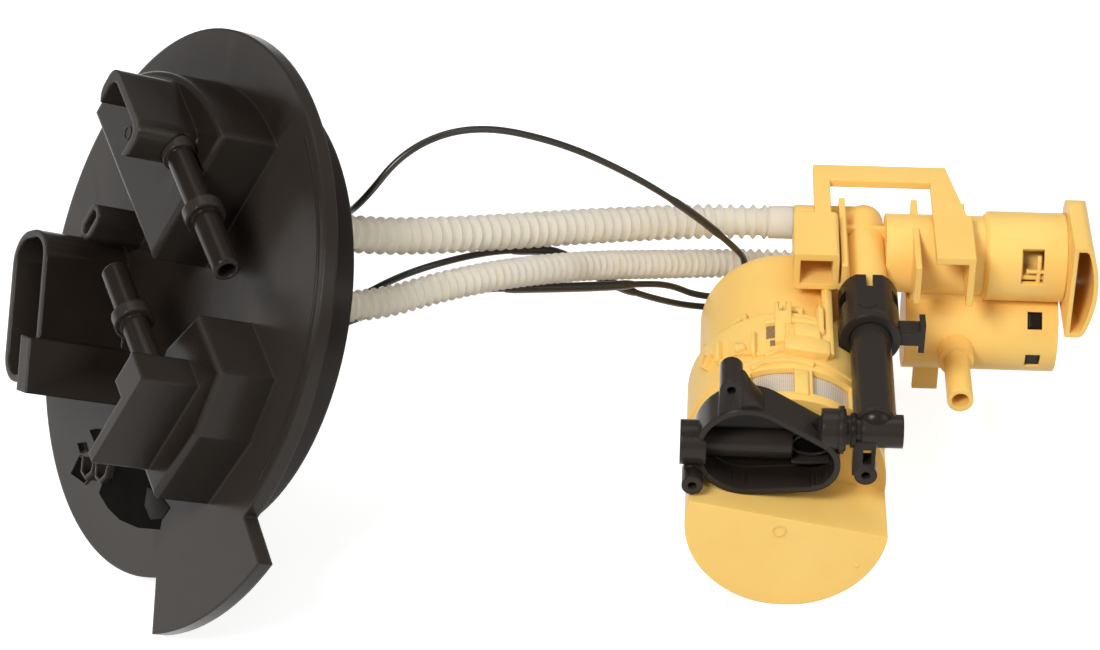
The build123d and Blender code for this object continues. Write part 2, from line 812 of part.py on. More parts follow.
    # bores
    with BuildSketch(reg_axis(reg_from + barrel_wall)):
        Circle(reg_neck_radius - barrel_wall)
    extrude(amount=reg_to - reg_from, mode=Mode.SUBTRACT)
    with BuildSketch(reg_axis(reg_step)):
        Circle(reg_radius - barrel_wall)
    extrude(amount=reg_to - reg_step, mode=Mode.SUBTRACT)
    with BuildSketch(filt_axis(filt_from + barrel_wall)):
        Circle(filt_radius - barrel_wall)
    extrude(amount=filt_to - filt_from, mode=Mode.SUBTRACT)
    with BuildSketch(duct_axis(duct_from - 1)):
        Circle(duct_radius - 1.5)
    extrude(amount=-(duct_to - duct_from - 1), mode=Mode.SUBTRACT)
    with BuildSketch(
        Plane(
            origin=(pot_x + inlet_from, pot_y + inlet_y, duct_z),
            x_dir=(0, 1, 0),
            z_dir=(1, 0, 0),
        )
    ):
        Circle(barb_radius)
    extrude(amount=duct_x - inlet_from, mode=Mode.SUBTRACT)
    with BuildSketch(
        Plane(
            origin=(pot_x + spout_x, pot_y + spout_tip, filt_z),
            x_dir=(1, 0, 0),
            z_dir=(0, 1, 0),
        )
    ):
        Circle(spout_bore)
    extrude(amount=filt_y - spout_tip - filt_radius + barrel_wall + 1, mode=Mode.SUBTRACT)
    with BuildSketch(
        Plane(
            origin=(pot_x + port_from, pot_y + port_y, port_z), x_dir=(0, 1, 0), z_dir=(1, 0, 0)
        )
    ):
        Circle(2.4)
    extrude(amount=port_long - 2, mode=Mode.SUBTRACT)
    # window in the regulator barrel and the ring of catch windows in the filter barrel
    with BuildSketch(front(reg_y - reg_radius - 1)):
        with Locations((reg_to - 10.5, reg_z + 4.1)):
            Rectangle(6.8, 10.6)
    extrude(amount=-6, mode=Mode.SUBTRACT)
    with BuildSketch(filt_axis(lock_from)):
        with PolarLocations(filt_radius, lock_count, lock_turn):
            Rectangle(6, lock_wide)
    extrude(amount=lock_long, mode=Mode.SUBTRACT)
finish(barrel_holder, "barrel_holder")

# ---------------------------------------------------------------- pressure regulator
poppet_lift = 1.5
reg_bore = reg_radius - barrel_wall
with BuildPart() as regulator_seat:
    with BuildSketch(reg_axis(reg_step + 0.2)):
        Circle(reg_bore)
        Circle(5, mode=Mode.SUBTRACT)
    extrude(amount=4)
    # cross ribs seen through the window
    with BuildSketch(reg_axis(reg_step + 4.2)):
        with PolarLocations(0, 4):
            Rectangle(reg_bore - 0.1, 1.4, align=(Align.MIN, Align.CENTER))
        Circle(5.6)
        Circle(4.4, mode=Mode.SUBTRACT)
    extrude(amount=14)
    with BuildSketch(reg_axis(reg_step + 10)):
        Circle(reg_bore - 0.1)
        Circle(reg_bore - 1.2, mode=Mode.SUBTRACT)
    extrude(amount=1.6)
finish(regulator_seat, "regulator_seat")

with BuildPart() as regulator_poppet:
    with BuildSketch(reg_axis(reg_step + 5.0)):
        Circle(4.4 - 0.06)
    extrude(amount=2.4)
    with BuildSketch(reg_axis(reg_step + 7.4)):
        Circle(1.3)
    extrude(amount=5)
finish(regulator_poppet, "regulator_poppet")

wire_radius = 0.35
spring_from = reg_step + 7.4 + poppet_lift + wire_radius + 0.1
with BuildPart() as regulator_spring:
    with BuildLine() as coil:
        spring_start = (pot_x + spring_from, pot_y + reg_y, reg_z)
        Helix(pitch=1.7, height=6.8, radius=3.1, center=spring_start, direction=(1, 0, 0))
    with BuildSketch(coil.line ^ 0):
        Circle(wire_radius)
    sweep(path=coil.line)
finish(regulator_spring, "regulator_spring")


def hood_outline(inset):
    """D-shaped mouth with its flat side towards the regulator."""
    long = hood_high - hood_low
    with Locations((hood_left + inset, (hood_low + hood_high) / 2)):
        Rectangle(hood_wide - 2 * inset, long - 2 * inset, align=(Align.MIN, Align.CENTER))
    with Locations((hood_left + hood_wide - 1.3 * long, (hood_low + hood_high) / 2)):
        Circle(1.3 * long - inset, mode=Mode.INTERSECT)
    fillet(vertices().sort_by(Axis.X)[-2:], 2.5 - inset)


with BuildPart() as outlet_hood:
    # flattened duct, rounded behind, that turns the flow towards the front
    with BuildSketch(front(hood_front)):
        hood_outline(0)
    extrude(amount=-(hood_back - hood_front))
    with BuildSketch(Plane(origin=(pot_x + hood_left, pot_y, 0), x_dir=(0, 1, 0), z_dir=(1, 0, 0))):
        with Locations((hood_back, (hood_low + hood_high) / 2)):
            Rectangle(hood_back - hood_front, hood_high - hood_low, align=(Align.MAX, Align.CENTER))
        fillet(vertices().sort_by(Axis.X)[-2:], 10)
    extrude(amount=hood_wide, mode=Mode.INTERSECT)
    with BuildSketch(front(hood_front)):
        hood_outline(hood_wall)
    extrude(amount=-(hood_back - hood_front - 4), mode=Mode.SUBTRACT)
    # spigot that plugs the regulator barrel
    with BuildSketch(reg_axis(reg_to - 6)):
        Circle(reg_bore - 0.05)
    extrude(amount=6)
    with BuildSketch(reg_axis(reg_to)):
        Circle(reg_radius - 0.3)
    extrude(amount=0.8)
    with BuildSketch(reg_axis(reg_to - 6)):
        Circle(reg_bore - 1.8)
    extrude(amount=6 + hood_left - reg_to + hood_wall, mode=Mode.SUBTRACT)
finish(outlet_hood, "outlet_hood")

# ---------------------------------------------------------------- fuel filter
filt_bore = filt_radius - barrel_wall
with BuildPart() as filter_element:
    with BuildSketch(filt_axis(filt_from + barrel_wall + 3)):
        Circle(filt_bore - 1.4)
        with PolarLocations(filt_bore - 1.4, 24):
            Circle(0.9, mode=Mode.SUBTRACT)
        Circle(4.2, mode=Mode.SUBTRACT)
    extrude(amount=31)
finish(filter_element, "filter_element")

with BuildPart() as filter_plug:
    with BuildSketch(filt_axis(filt_from + barrel_wall)):
        Circle(filt_bore - 0.05)
        Circle(3.2, mode=Mode.SUBTRACT)
    extrude(amount=3)
finish(filter_plug, "filter_plug")

with BuildPart() as filter_cap:
    with BuildSketch(filt_axis(filt_from + barrel_wall + 34)):
        Circle(filt_bore - 0.05)
    extrude(amount=filt_to - filt_from - barrel_wall - 34 - 1.5)
    with BuildSketch(filt_axis(filt_from + barrel_wall + 38)):
        Circle(filt_bore - 1.8)
    extrude(amount=filt_to, mode=Mode.SUBTRACT)
    # catches that snap into the windows of the barrel
    with BuildSketch(filt_axis(lock_from + lock_clearance)):
        with PolarLocations(filt_bore - 0.6, lock_count, lock_turn):
            Rectangle(3.2, lock_wide - 2 * lock_clearance)
    extrude(amount=lock_long - 2 * lock_clearance)
finish(filter_cap, "filter_cap")

# ---------------------------------------------------------------- suction jet pump
def scoop_outline(inset):
    """Teardrop mouth: a large circle and a small one joined by tangents."""
    with Locations((-12.2, 20.6)):
        Circle(15.2 - inset)
    with Locations((5.4, 16.4)):
        Circle(9.5 - inset)
    make_hull()


with BuildPart() as jet_scoop:
    with BuildSketch(pot_front(scoop_front)):
        scoop_outline(0)
    extrude(amount=-(scoop_back - scoop_front))
    # collar that leads to the cross tube
    with BuildSketch(
        Plane(origin=(pot_x + 11, pot_y + cross_y, cross_z), x_dir=(0, 1, 0), z_dir=(1, 0, 0))
    ):
        Circle(2.4)
    extrude(amount=6)
    # stub on the left
    with BuildSketch(
        Plane(
            origin=(pot_x - 24, pot_y + 12.4, pot_z + 20.2), x_dir=(0, 1, 0), z_dir=(-1, 0, 0)
        )
    ):
        Circle(6.6)
    extrude(amount=7.6)
    # collar round the neck
    with BuildSketch(
        Plane(origin=(pot_x + 9, pot_y + cross_y, cross_z), x_dir=(0, 1, 0), z_dir=(1, 0, 0))
    ):
        Circle(6.2)
    extrude(amount=7)
    # screw bosses: one above, one low on the left
    with BuildSketch(pot_front(scoop_front + 0.5)):
        with Locations((-17.4, 42.2)):
            Circle(boss_radius)
            Rectangle(2 * boss_radius, 9, align=(Align.CENTER, Align.MAX))
    extrude(amount=-12)
    with BuildSketch(pot_front(2.2)):
        with Locations((-27.7, 12.0)):
            Circle(3.1)
    extrude(amount=-8)
    with BuildSketch(pot_front(scoop_front)):
        with Locations((-27.7, 12.0)):
            Rectangle(5, 8, align=(Align.CENTER, Align.MIN))
    extrude(amount=-5)
    with BuildSketch(pot_front(scoop_front)):
        scoop_outline(scoop_wall)
    extrude(amount=-(scoop_back - scoop_front - scoop_wall), mode=Mode.SUBTRACT)
    with BuildSketch(pot_front(0)):
        with Locations((-17.4, 42.2), (-27.7, 12.0)):
            Circle(boss_hole)
    extrude(amount=-16, mode=Mode.SUBTRACT)
    # throat from the mouth into the neck
    with BuildSketch(
        Plane(origin=(pot_x, pot_y + cross_y, cross_z), x_dir=(0, 1, 0), z_dir=(1, 0, 0))
    ):
        Circle(1.2)
    extrude(amount=20, mode=Mode.SUBTRACT)
finish(jet_scoop, "jet_scoop")

pipe_from = cross_y
with BuildPart() as jet_pipe:
    # cross tube along X with its nozzle end towards the scoop
    with BuildSketch(
        Plane(origin=(pot_x + 20.5, pot_y + cross_y, cross_z), x_dir=(0, 1, 0), z_dir=(1, 0, 0))
    ):
        Circle(cross_radius)
    extrude(amount=12)
    with BuildSketch(
        Plane(origin=(pot_x + 17, pot_y + cross_y, cross_z), x_dir=(0, 1, 0), z_dir=(1, 0, 0))
    ):
        Circle(3.6)
    extrude(amount=4)
    # long pipe back to the quick connector, slimmer where it plugs in
    with BuildSketch(duct_axis(pipe_from)):
        Circle(pipe_radius)
    extrude(amount=-(conn_from + 7.8 - pipe_from))
    with BuildSketch(duct_axis(pipe_from)):
        Circle(pipe_radius - 1.2)
    extrude(amount=-(duct_from - 0.3 - pipe_from))
    # arm down to the right screw boss
    with BuildSketch(pot_front(scoop_front + 1)):
        with Locations((22.4, 12.8)):
            Circle(boss_radius)
        with Locations((21.6, 12.8)):
            Rectangle(6.4, 12, align=(Align.CENTER, Align.MIN))
        with Locations((22.4, 17.0)):
            Rectangle(2.4, 5.0, align=(Align.CENTER, Align.MIN), mode=Mode.SUBTRACT)
    extrude(amount=-5.5)
    with BuildSketch(pot_front(scoop_front + 1)):
        with Locations((22.4, 12.8)):
            Circle(boss_hole)
    extrude(amount=-4, mode=Mode.SUBTRACT)
    with BuildSketch(duct_axis(pipe_from)):
        Circle(pipe_radius - 1.2 - pipe_wall)
    extrude(amount=-(duct_from - pipe_from), mode=Mode.SUBTRACT)
    with BuildSketch(
        Plane(origin=(pot_x + 17, pot_y + cross_y, cross_z), x_dir=(0, 1, 0), z_dir=(1, 0, 0))
    ):
        Circle(1.0)
    extrude(amount=8, mode=Mode.SUBTRACT)
finish(jet_pipe, "jet_pipe")

with BuildPart() as quick_connector:
    with BuildSketch(duct_axis(conn_from)):
        Circle(conn_radius)
        Rectangle(2 * conn_flat + 4, 2 * conn_flat, mode=Mode.INTERSECT)
    extrude(amount=-(conn_to - conn_from))
    with BuildSketch(duct_axis(conn_from)):
        Circle(conn_ring)
    extrude(amount=-3)
    with BuildSketch(duct_axis(conn_from)):
        Circle(pipe_radius + 0.06)
    extrude(amount=-8, mode=Mode.SUBTRACT)
    with BuildSketch(duct_axis(conn_from + 8)):
        Circle(pipe_radius - 1.2 + 0.06)
    extrude(amount=-(conn_to - conn_from), mode=Mode.SUBTRACT)
    with BuildSketch(duct_axis(duct_from)):
        Circle(duct_radius + 0.06)
    extrude(amount=-6, mode=Mode.SUBTRACT)
    # slot for the latch and the split at the far end
    with BuildSketch(duct_axis(latch_from - 0.1)):
        with Locations((6, 0)):
            Rectangle(9, 5.2, align=(Align.MIN, Align.CENTER))
    extrude(amount=-(latch_long + 0.2), mode=Mode.SUBTRACT)
    with BuildSketch(duct_axis(conn_to - 6)):
        with Locations((0, 6)):
            Rectangle(2.0, 8)
    extrude(amount=-8, mode=Mode.SUBTRACT)
    with BuildSketch(duct_axis(conn_to - 9)):
        Rectangle(30, 3.4)
    extrude(amount=-6, mode=Mode.SUBTRACT)
finish(quick_connector, "quick_connector")

with BuildPart() as connector_latch:
    with BuildSketch(duct_axis(latch_from)):
        with Locations((latch_inner, 0)):
            Rectangle(14.6 - latch_inner, 5.0, align=(Align.MIN, Align.CENTER))
        with Locations((14.6, 0)):
            Rectangle(1.8, 10, align=(Align.MIN, Align.CENTER))
    extrude(amount=-latch_long)
finish(connector_latch, "connector_latch")

# ---------------------------------------------------------------- hoses and leads
def spot(x, y, z):
    """Point given from the foot of the pot's end plate."""
    return (pot_x + x, pot_y + y, z)


def under_cover(p, q, height):
    """Point given on the cover's own grid; a negative height is below its outer face."""
    return tuple(cover_plane.from_local_coords((p, q, height)))


def bend_radii(route):
    """Largest easy bend at every inner point of the route."""
    radii = []
    for before, here, after in zip(route, route[1:], route[2:]):
        into = Vector(here) - Vector(before)
        out = Vector(after) - Vector(here)
        half_turn = radians(into.get_angle(out) / 2)
        radii.append(0.45 * min(into.length, out.length) / tan(half_turn))
    return radii


def cord(route, radius, bore=0.0):
    """A round cord, or a tube when it has a bore, along the route."""
    with BuildPart() as piece:
        with BuildLine() as path:
            FilletPolyline(*route, radius=bend_radii(route))
        with BuildSketch(path.line ^ 0):
            Circle(radius)
            if bore:
                Circle(bore, mode=Mode.SUBTRACT)
        sweep(path=path.line)
    return piece


supply_barb_at = (12.0, 44.0)
return_barb_at = (30.0, 30.0)
barb_flange_to = -8.0
barb_to = -21.5
hose_clearance = 0.05
supply_hose_bore = 3.9
return_hose_bore = 3.2

with BuildPart() as supply_barb:
    with BuildSketch(on_cover(barb_flange_to)):
        with Locations(supply_barb_at):
            Circle(supply_hose_radius + 0.6)
    extrude(amount=-barb_flange_to - cover_thickness)
    with BuildSketch(on_cover(barb_to)):
        with Locations(supply_barb_at):
            Circle(supply_hose_bore - hose_clearance)
    extrude(amount=barb_flange_to - barb_to)
    with BuildSketch(on_cover(barb_to)):
        with Locations(supply_barb_at):
            Circle(barb_bore)
    extrude(amount=-barb_to, mode=Mode.SUBTRACT)
finish(supply_barb, "supply_barb", cover_plane.location)

with BuildPart() as return_barb:
    with BuildSketch(on_cover(barb_flange_to)):
        with Locations(return_barb_at):
            Circle(return_hose_radius + 0.6)
    extrude(amount=-barb_flange_to - cover_thickness)
    with BuildSketch(on_cover(barb_to)):
        with Locations(return_barb_at):
            Circle(return_hose_bore - hose_clearance)
    extrude(amount=barb_flange_to - barb_to)
    with BuildSketch(on_cover(barb_to)):
        with Locations(return_barb_at):
            Circle(barb_bore - 0.6)
    extrude(amount=-barb_to, mode=Mode.SUBTRACT)
finish(return_barb, "return_barb", cover_plane.location)

supply_route = [
    under_cover(*supply_barb_at, barb_flange_to),
    under_cover(*supply_barb_at, -34),
    spot(-98, 66, 84),
    spot(-66.5, 91.3, 71.4),
    spot(-36, 112.5, 60.5),
    spot(-15, 119.5, 57),
    spot(inlet_from, inlet_y, duct_z),
]
return_route = [
    under_cover(*return_barb_at, barb_flange_to),
    under_cover(*return_barb_at, -34),
    spot(-96.5, 52, 77.5),
    spot(-66.6, 79.6, 64.9),
    spot(-38, 104.5, 49.8),
    spot(-15, 118, 42),
    spot(5, 121.5, 40),
    spot(port_from, port_y, port_z),
]
plug_to = -16.0
lead_routes = {
    "upper_lead": [
        under_cover(-31, -29, plug_to),
        under_cover(-31, -29, -32),
        under_cover(-24, 2, -42),
        under_cover(-8, 34, -41),
        spot(-126, 45, 107),
        spot(-113, 52, 122.5),
        spot(-94, 62, 125),
        spot(-70, 75, 112),
        spot(-47.9, 86.5, 93.7),
        spot(-30, 96, 75),
        spot(-16, 104, 57),
        spot(-12, 109.9, 48),
        spot(-12, 109.9, 37),
    ],
    "middle_lead": [
        under_cover(-26, -32, plug_to),
        under_cover(-26, -32, -34),
        under_cover(-6, -8, -48),
        spot(-130, 50, 70),
        spot(-114.3, 54, 77.9),
        spot(-94.7, 71.5, 73.8),
        spot(-81, 82.5, 68.5),
        spot(-70, 90, 63),
        spot(-60, 93.5, 52.5),
        spot(-50, 95, 46),
        spot(-38, 101, 38),
        spot(-27, 109.9, 30),
        spot(-18, 109.9, 30),
    ],
    "lower_lead": [
        under_cover(-21, -35, plug_to),
        under_cover(-21, -35, -34),
        under_cover(3, -12, -42),
        spot(-129.3, 43.3, 68.7),
        spot(-97.9, 60.5, 68.1),
        spot(-81.4, 71.5, 61.5),
        spot(-58, 86, 53),
        spot(-45, 96, 47.8),
        spot(-36, 104, 42.3),
        spot(-27, 109.9, 34),
        spot(-18, 109.9, 34),
    ],
}

finish(cord(supply_route, supply_hose_radius, supply_hose_bore), "supply_hose")
finish(cord(return_route, return_hose_radius, return_hose_bore), "return_hose")
for label, route in lead_routes.items():
    finish(cord(route, lead_radius), label)

# plug under the socket and plug on the back of the pot
with BuildPart() as cover_plug:
    with BuildSketch(turned(on_cover(plug_to), socket_p, socket_q, socket_angle)):
        RectangleRounded(30, 14, 2)
    extrude(amount=-plug_to - cover_thickness)
finish(cover_plug, "cover_plug", cover_plane.location)

with BuildPart() as pump_plug:
    with BuildSketch(front(pot_length)):
        with Locations((-12, 32)):
            RectangleRounded(12, 10, 1.2)
    extrude(amount=-5.5)
finish(pump_plug, "pump_plug")
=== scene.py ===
import math

import bmesh
import bpy
from mathutils import Matrix, Vector


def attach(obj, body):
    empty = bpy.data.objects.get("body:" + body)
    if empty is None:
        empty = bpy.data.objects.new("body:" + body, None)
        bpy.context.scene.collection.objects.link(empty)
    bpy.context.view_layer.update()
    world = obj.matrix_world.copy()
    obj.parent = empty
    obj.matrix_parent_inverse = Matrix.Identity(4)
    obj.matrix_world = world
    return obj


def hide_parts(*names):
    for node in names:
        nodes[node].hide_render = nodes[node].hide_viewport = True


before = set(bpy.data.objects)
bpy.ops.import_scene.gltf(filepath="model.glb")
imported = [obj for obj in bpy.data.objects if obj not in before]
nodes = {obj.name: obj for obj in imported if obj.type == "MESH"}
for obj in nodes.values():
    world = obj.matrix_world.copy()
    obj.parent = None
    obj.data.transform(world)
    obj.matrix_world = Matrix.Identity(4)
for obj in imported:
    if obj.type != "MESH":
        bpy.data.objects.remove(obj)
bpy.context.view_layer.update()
print("frame loaded,", len(nodes), "nodes")


def mm(*xyz):
    return Vector([v / 1000 for v in xyz])


# camera, in front of the object and above it; places are in millimetres
view = {
    "place": (37.72, -722.63, 576.06),
    "right": (0.99863, 0.05234, 0.0),
    "up": (-0.03002, 0.57279, 0.81915),
    "back": (0.04287, -0.81803, 0.57358),
    "lens": 98.18, "sensor": 36, "farClip": 20,
}
cameraData = bpy.data.cameras.new("camera")
cameraData.lens = view["lens"]
cameraData.sensor_width = view["sensor"]
cameraData.clip_end = view["farClip"]
camera = bpy.data.objects.new("camera", cameraData)
turn = Matrix([view["right"], view["up"], view["back"]]).transposed()
camera.matrix_world = Matrix.Translation(mm(*view["place"])) @ turn.to_4x4()
bpy.context.scene.collection.objects.link(camera)
bpy.context.scene.camera = camera
bpy.context.scene.view_settings.view_transform = "Standard"


# material helpers
def newMaterial(name):
    made = bpy.data.materials.new(name)
    made.use_nodes = True
    shader = made.node_tree.nodes["Principled BSDF"]
    return made, made.node_tree, shader


def addNode(tree, kind, **settings):
    node = tree.nodes.new(kind)
    for key, value in settings.items():
        setattr(node, key, value)
    return node


def noiseAt(tree, scale, detail=3.0, rough=0.55):
    place = addNode(tree, "ShaderNodeTexCoord")
    noise = addNode(tree, "ShaderNodeTexNoise")
    noise.inputs["Scale"].default_value = scale
    noise.inputs["Detail"].default_value = detail
    noise.inputs["Roughness"].default_value = rough
    tree.links.new(place.outputs["Object"], noise.inputs["Vector"])
    return noise


def rampOver(tree, source, stops):
    ramp = addNode(tree, "ShaderNodeValToRGB")
    while len(ramp.color_ramp.elements) < len(stops):
        ramp.color_ramp.elements.new(0.5)
    for element, (place, colour) in zip(ramp.color_ramp.elements, stops):
        element.position = place
        element.color = (*colour, 1)
    tree.links.new(source, ramp.inputs["Fac"])
    return ramp


def mapOver(tree, source, low, high):
    spread = addNode(tree, "ShaderNodeMapRange")
    spread.inputs["To Min"].default_value = low
    spread.inputs["To Max"].default_value = high
    tree.links.new(source, spread.inputs["Value"])
    return spread.outputs["Result"]


def mathOf(tree, operation, first, second=None):
    node = addNode(tree, "ShaderNodeMath", operation=operation)
    for socket, value in zip(node.inputs, (first, second)):
        if value is None:
            continue
        if isinstance(value, (int, float)):
            socket.default_value = value
        else:
            tree.links.new(value, socket)
    return node.outputs[0]


def bumpFrom(tree, shader, source, strength, distance, edgeRadius=0.0):
    bump = addNode(tree, "ShaderNodeBump")
    bump.inputs["Strength"].default_value = strength
    bump.inputs["Distance"].default_value = distance
    tree.links.new(source, bump.inputs["Height"])
    if edgeRadius:
        edge = addNode(tree, "ShaderNodeBevel", samples=6)
        edge.inputs["Radius"].default_value = edgeRadius
        tree.links.new(edge.outputs["Normal"], bump.inputs["Normal"])
    tree.links.new(bump.outputs["Normal"], shader.inputs["Normal"])
    return bump


def edgeWear(tree, colourSocket, wornColour, amount, start=0.505, full=0.56):
    geometry = addNode(tree, "ShaderNodeNewGeometry")
    ramp = rampOver(tree, geometry.outputs["Pointiness"], [(start, (0, 0, 0)), (full, (amount,) * 3)])
    mix = addNode(tree, "ShaderNodeMix", data_type="RGBA")
    mix.inputs["B"].default_value = (*wornColour, 1)
    tree.links.new(ramp.outputs["Color"], mix.inputs["Factor"])
    tree.links.new(colourSocket, mix.inputs["A"])
    return mix.outputs["Result"]


# what a resin has unless its own settings say otherwise
usualResin = {
    "cloud": 38, "darkUpTo": 0.32, "lightFrom": 0.68, "wornShare": 0.4, "glossScale": 160, "smoother": 0.06,
    "rougher": 0.07, "grainScale": 1700, "grainDepth": 0.00005, "edge": 0.0, "specular": 0.5, "index": 1.2,
}


def mouldedResin(name, ownLook):
    look = {**usualResin, **ownLook}
    made, tree, shader = newMaterial(name)
    cloud = noiseAt(tree, look["cloud"], 4)
    ramp = rampOver(tree, cloud.outputs["Fac"], [(look["darkUpTo"], look["dark"]), (look["lightFrom"], look["light"])])
    colour = ramp.outputs["Color"]
    if "worn" in look:
        colour = edgeWear(tree, colour, look["worn"], look["wornShare"])
    tree.links.new(colour, shader.inputs["Base Color"])
    gloss = noiseAt(tree, look["glossScale"], 3)
    rough = mapOver(tree, gloss.outputs["Fac"], look["rough"] - look["smoother"], look["rough"] + look["rougher"])
    tree.links.new(rough, shader.inputs["Roughness"])
    fine = noiseAt(tree, look["grainScale"], 2)
    bumpFrom(tree, shader, fine.outputs["Fac"], look["grain"], look["grainDepth"], look["edge"])
    shader.inputs["Specular IOR Level"].default_value = look["specular"]
    if "clear" in look:
        shader.inputs["Transmission Weight"].default_value = look["clear"]
        shader.inputs["IOR"].default_value = look["index"]
    if "through" in look:
        shader.inputs["Subsurface Weight"].default_value = look["through"]
        shader.inputs["Subsurface Radius"].default_value = look["throughReach"]
        shader.inputs["Subsurface Scale"].default_value = 1.0
    return made


resins = {
    "blackResin": {"dark": (0.0125, 0.0088, 0.0066), "light": (0.0180, 0.0135, 0.0105), "rough": 0.24,
                   "grain": 0.2, "edge": 0.0011, "worn": (0.050, 0.042, 0.036), "specular": 0.15},
    "ochreResin": {"dark": (0.965, 0.600, 0.160), "light": (0.985, 0.642, 0.186), "rough": 0.42,
                   "grain": 0.2, "edge": 0.0005, "specular": 0.32,
                   "through": 0.18, "throughReach": (0.004, 0.0018, 0.0006)},
    "hoseNylon": {"dark": (0.86, 0.795, 0.67), "light": (0.885, 0.825, 0.71), "rough": 0.5, "cloud": 90,
                  "grain": 0.1, "specular": 0.3, "through": 0.9, "clear": 0.38,
                  "throughReach": (0.008, 0.0071, 0.0056)},
    "leadCover": {"dark": (0.020, 0.017, 0.012), "light": (0.030, 0.026, 0.019), "rough": 0.30,
                  "grain": 0.1, "specular": 0.5},
    # dark brown for the pot wall's window openings: the netting's colour with painted shade of the opening
    "gapNetShade": {"dark": (0.20, 0.125, 0.05), "light": (0.32, 0.22, 0.11), "rough": 0.7, "cloud": 900,
                "grain": 0.6},
    "deepShade": {"dark": (0.003, 0.0025, 0.002), "light": (0.006, 0.005, 0.004), "rough": 0.8, "grain": 0.3,
                  "specular": 0.03},
    # a darker copy of the black resin for the pocket's inner wall: painted shade
    "pocketShadedResin": {"dark": (0.006, 0.0048, 0.0038), "light": (0.009, 0.0072, 0.006), "rough": 0.5, "grain": 0.2,
                    "specular": 0.08},
    "innerResin": {"dark": (0.05, 0.045, 0.04), "light": (0.075, 0.07, 0.062), "rough": 0.45, "grain": 0.3,
                   "edge": 0.0003},
    "isolatorRubber": {"dark": (0.018, 0.018, 0.018), "light": (0.028, 0.028, 0.028), "rough": 0.6, "grain": 0.6},
    "filterPaper": {"dark": (0.62, 0.54, 0.38), "light": (0.74, 0.66, 0.5), "rough": 0.8, "grain": 0.6,
                    "grainScale": 900},
}
material = {name: mouldedResin(name, look) for name, look in resins.items()}


# what a metal has unless its own settings say otherwise
usualMetal = {
    "scale": 240, "darkUpTo": 0.3, "lightFrom": 0.7, "smoother": 0.08, "rougher": 0.1, "metal": 1.0, "bump": 0.15,
    "bumpDepth": 0.00005,
}


def metalSkin(name, ownLook):
    look = {**usualMetal, **ownLook}
    made, tree, shader = newMaterial(name)
    place = addNode(tree, "ShaderNodeTexCoord")
    stretch = addNode(tree, "ShaderNodeMapping")
    stretch.inputs["Scale"].default_value = look["brush"]
    tree.links.new(place.outputs["Object"], stretch.inputs["Vector"])
    noise = addNode(tree, "ShaderNodeTexNoise")
    noise.inputs["Scale"].default_value = look["scale"]
    noise.inputs["Detail"].default_value = 4
    tree.links.new(stretch.outputs["Vector"], noise.inputs["Vector"])
    ramp = rampOver(tree, noise.outputs["Fac"], [(look["darkUpTo"], look["dark"]), (look["lightFrom"], look["light"])])
    tree.links.new(ramp.outputs["Color"], shader.inputs["Base Color"])
    rough = mapOver(tree, noise.outputs["Fac"], look["rough"] - look["smoother"], look["rough"] + look["rougher"])
    tree.links.new(rough, shader.inputs["Roughness"])
    shader.inputs["Metallic"].default_value = look["metal"]
    bumpFrom(tree, shader, noise.outputs["Fac"], look["bump"], look["bumpDepth"])
    return made


metals = {
    "motorSteel": {"dark": (0.42, 0.42, 0.43), "light": (0.60, 0.60, 0.61), "rough": 0.34, "brush": (1, 9, 1)},
    "platedTerminal": {"dark": (0.55, 0.53, 0.48), "light": (0.72, 0.70, 0.65), "rough": 0.28, "brush": (1, 1, 8)},
    "pumpMetal": {"dark": (0.48, 0.48, 0.50), "light": (0.66, 0.66, 0.68), "rough": 0.4, "brush": (6, 1, 6)},
    "windingCore": {"dark": (0.30, 0.12, 0.05), "light": (0.62, 0.30, 0.14), "rough": 0.36, "brush": (1, 14, 1)},
    "magnetFerrite": {"dark": (0.03, 0.03, 0.033), "light": (0.06, 0.06, 0.065), "rough": 0.55, "brush": (2, 2, 2),
                      "metal": 0.2},
    "carbonBlock": {"dark": (0.015, 0.015, 0.016), "light": (0.035, 0.035, 0.036), "rough": 0.5, "brush": (2, 2, 2),
                    "metal": 0.0},
}
material.update({name: metalSkin(name, look) for name, look in metals.items()})

# where the pot's axis meets its end plate, in millimetres
potSpot = {"x": 70.65, "y": -41.25, "z": 29.6}


# woven net, laid out round the pot's axis
def wovenNet(name, look):
    made, tree, shader = newMaterial(name)
    place = addNode(tree, "ShaderNodeTexCoord")
    split = addNode(tree, "ShaderNodeSeparateXYZ")
    tree.links.new(place.outputs["Object"], split.inputs["Vector"])
    across = mathOf(tree, "SUBTRACT", split.outputs["X"], potSpot["x"] / 1000)
    above = mathOf(tree, "SUBTRACT", split.outputs["Z"], potSpot["z"] / 1000)
    angle = mathOf(tree, "ARCTAN2", above, across)
    girth = mathOf(tree, "MULTIPLY", angle, look["radius"] / look["mesh"] * math.pi)
    along = mathOf(tree, "MULTIPLY", split.outputs["Y"], math.pi / look["mesh"])
    warp = mathOf(tree, "ABSOLUTE", mathOf(tree, "SINE", girth))
    weft = mathOf(tree, "ABSOLUTE", mathOf(tree, "SINE", along))
    thread = mathOf(tree, "MINIMUM", warp, weft)
    ramp = rampOver(tree, thread, [(look["threadUpTo"], look["thread"]), (look["holeFrom"], look["hole"])])
    tree.links.new(ramp.outputs["Color"], shader.inputs["Base Color"])
    shader.inputs["Roughness"].default_value = look["rough"]
    bumpFrom(tree, shader, mathOf(tree, "MULTIPLY", thread, -1.0), look["bump"], look["bumpDepth"])
    return made


strainerNet = {
    "radius": 0.0275, "mesh": 0.00062, "thread": (0.80, 0.73, 0.62), "threadUpTo": 0.18, "hole": (0.50, 0.43, 0.34),
    "holeFrom": 0.5, "rough": 0.6, "bump": 0.6, "bumpDepth": 0.0001,
}
material["strainerNet"] = wovenNet("strainerNet", strainerNet)
print("materials made,", len(material))

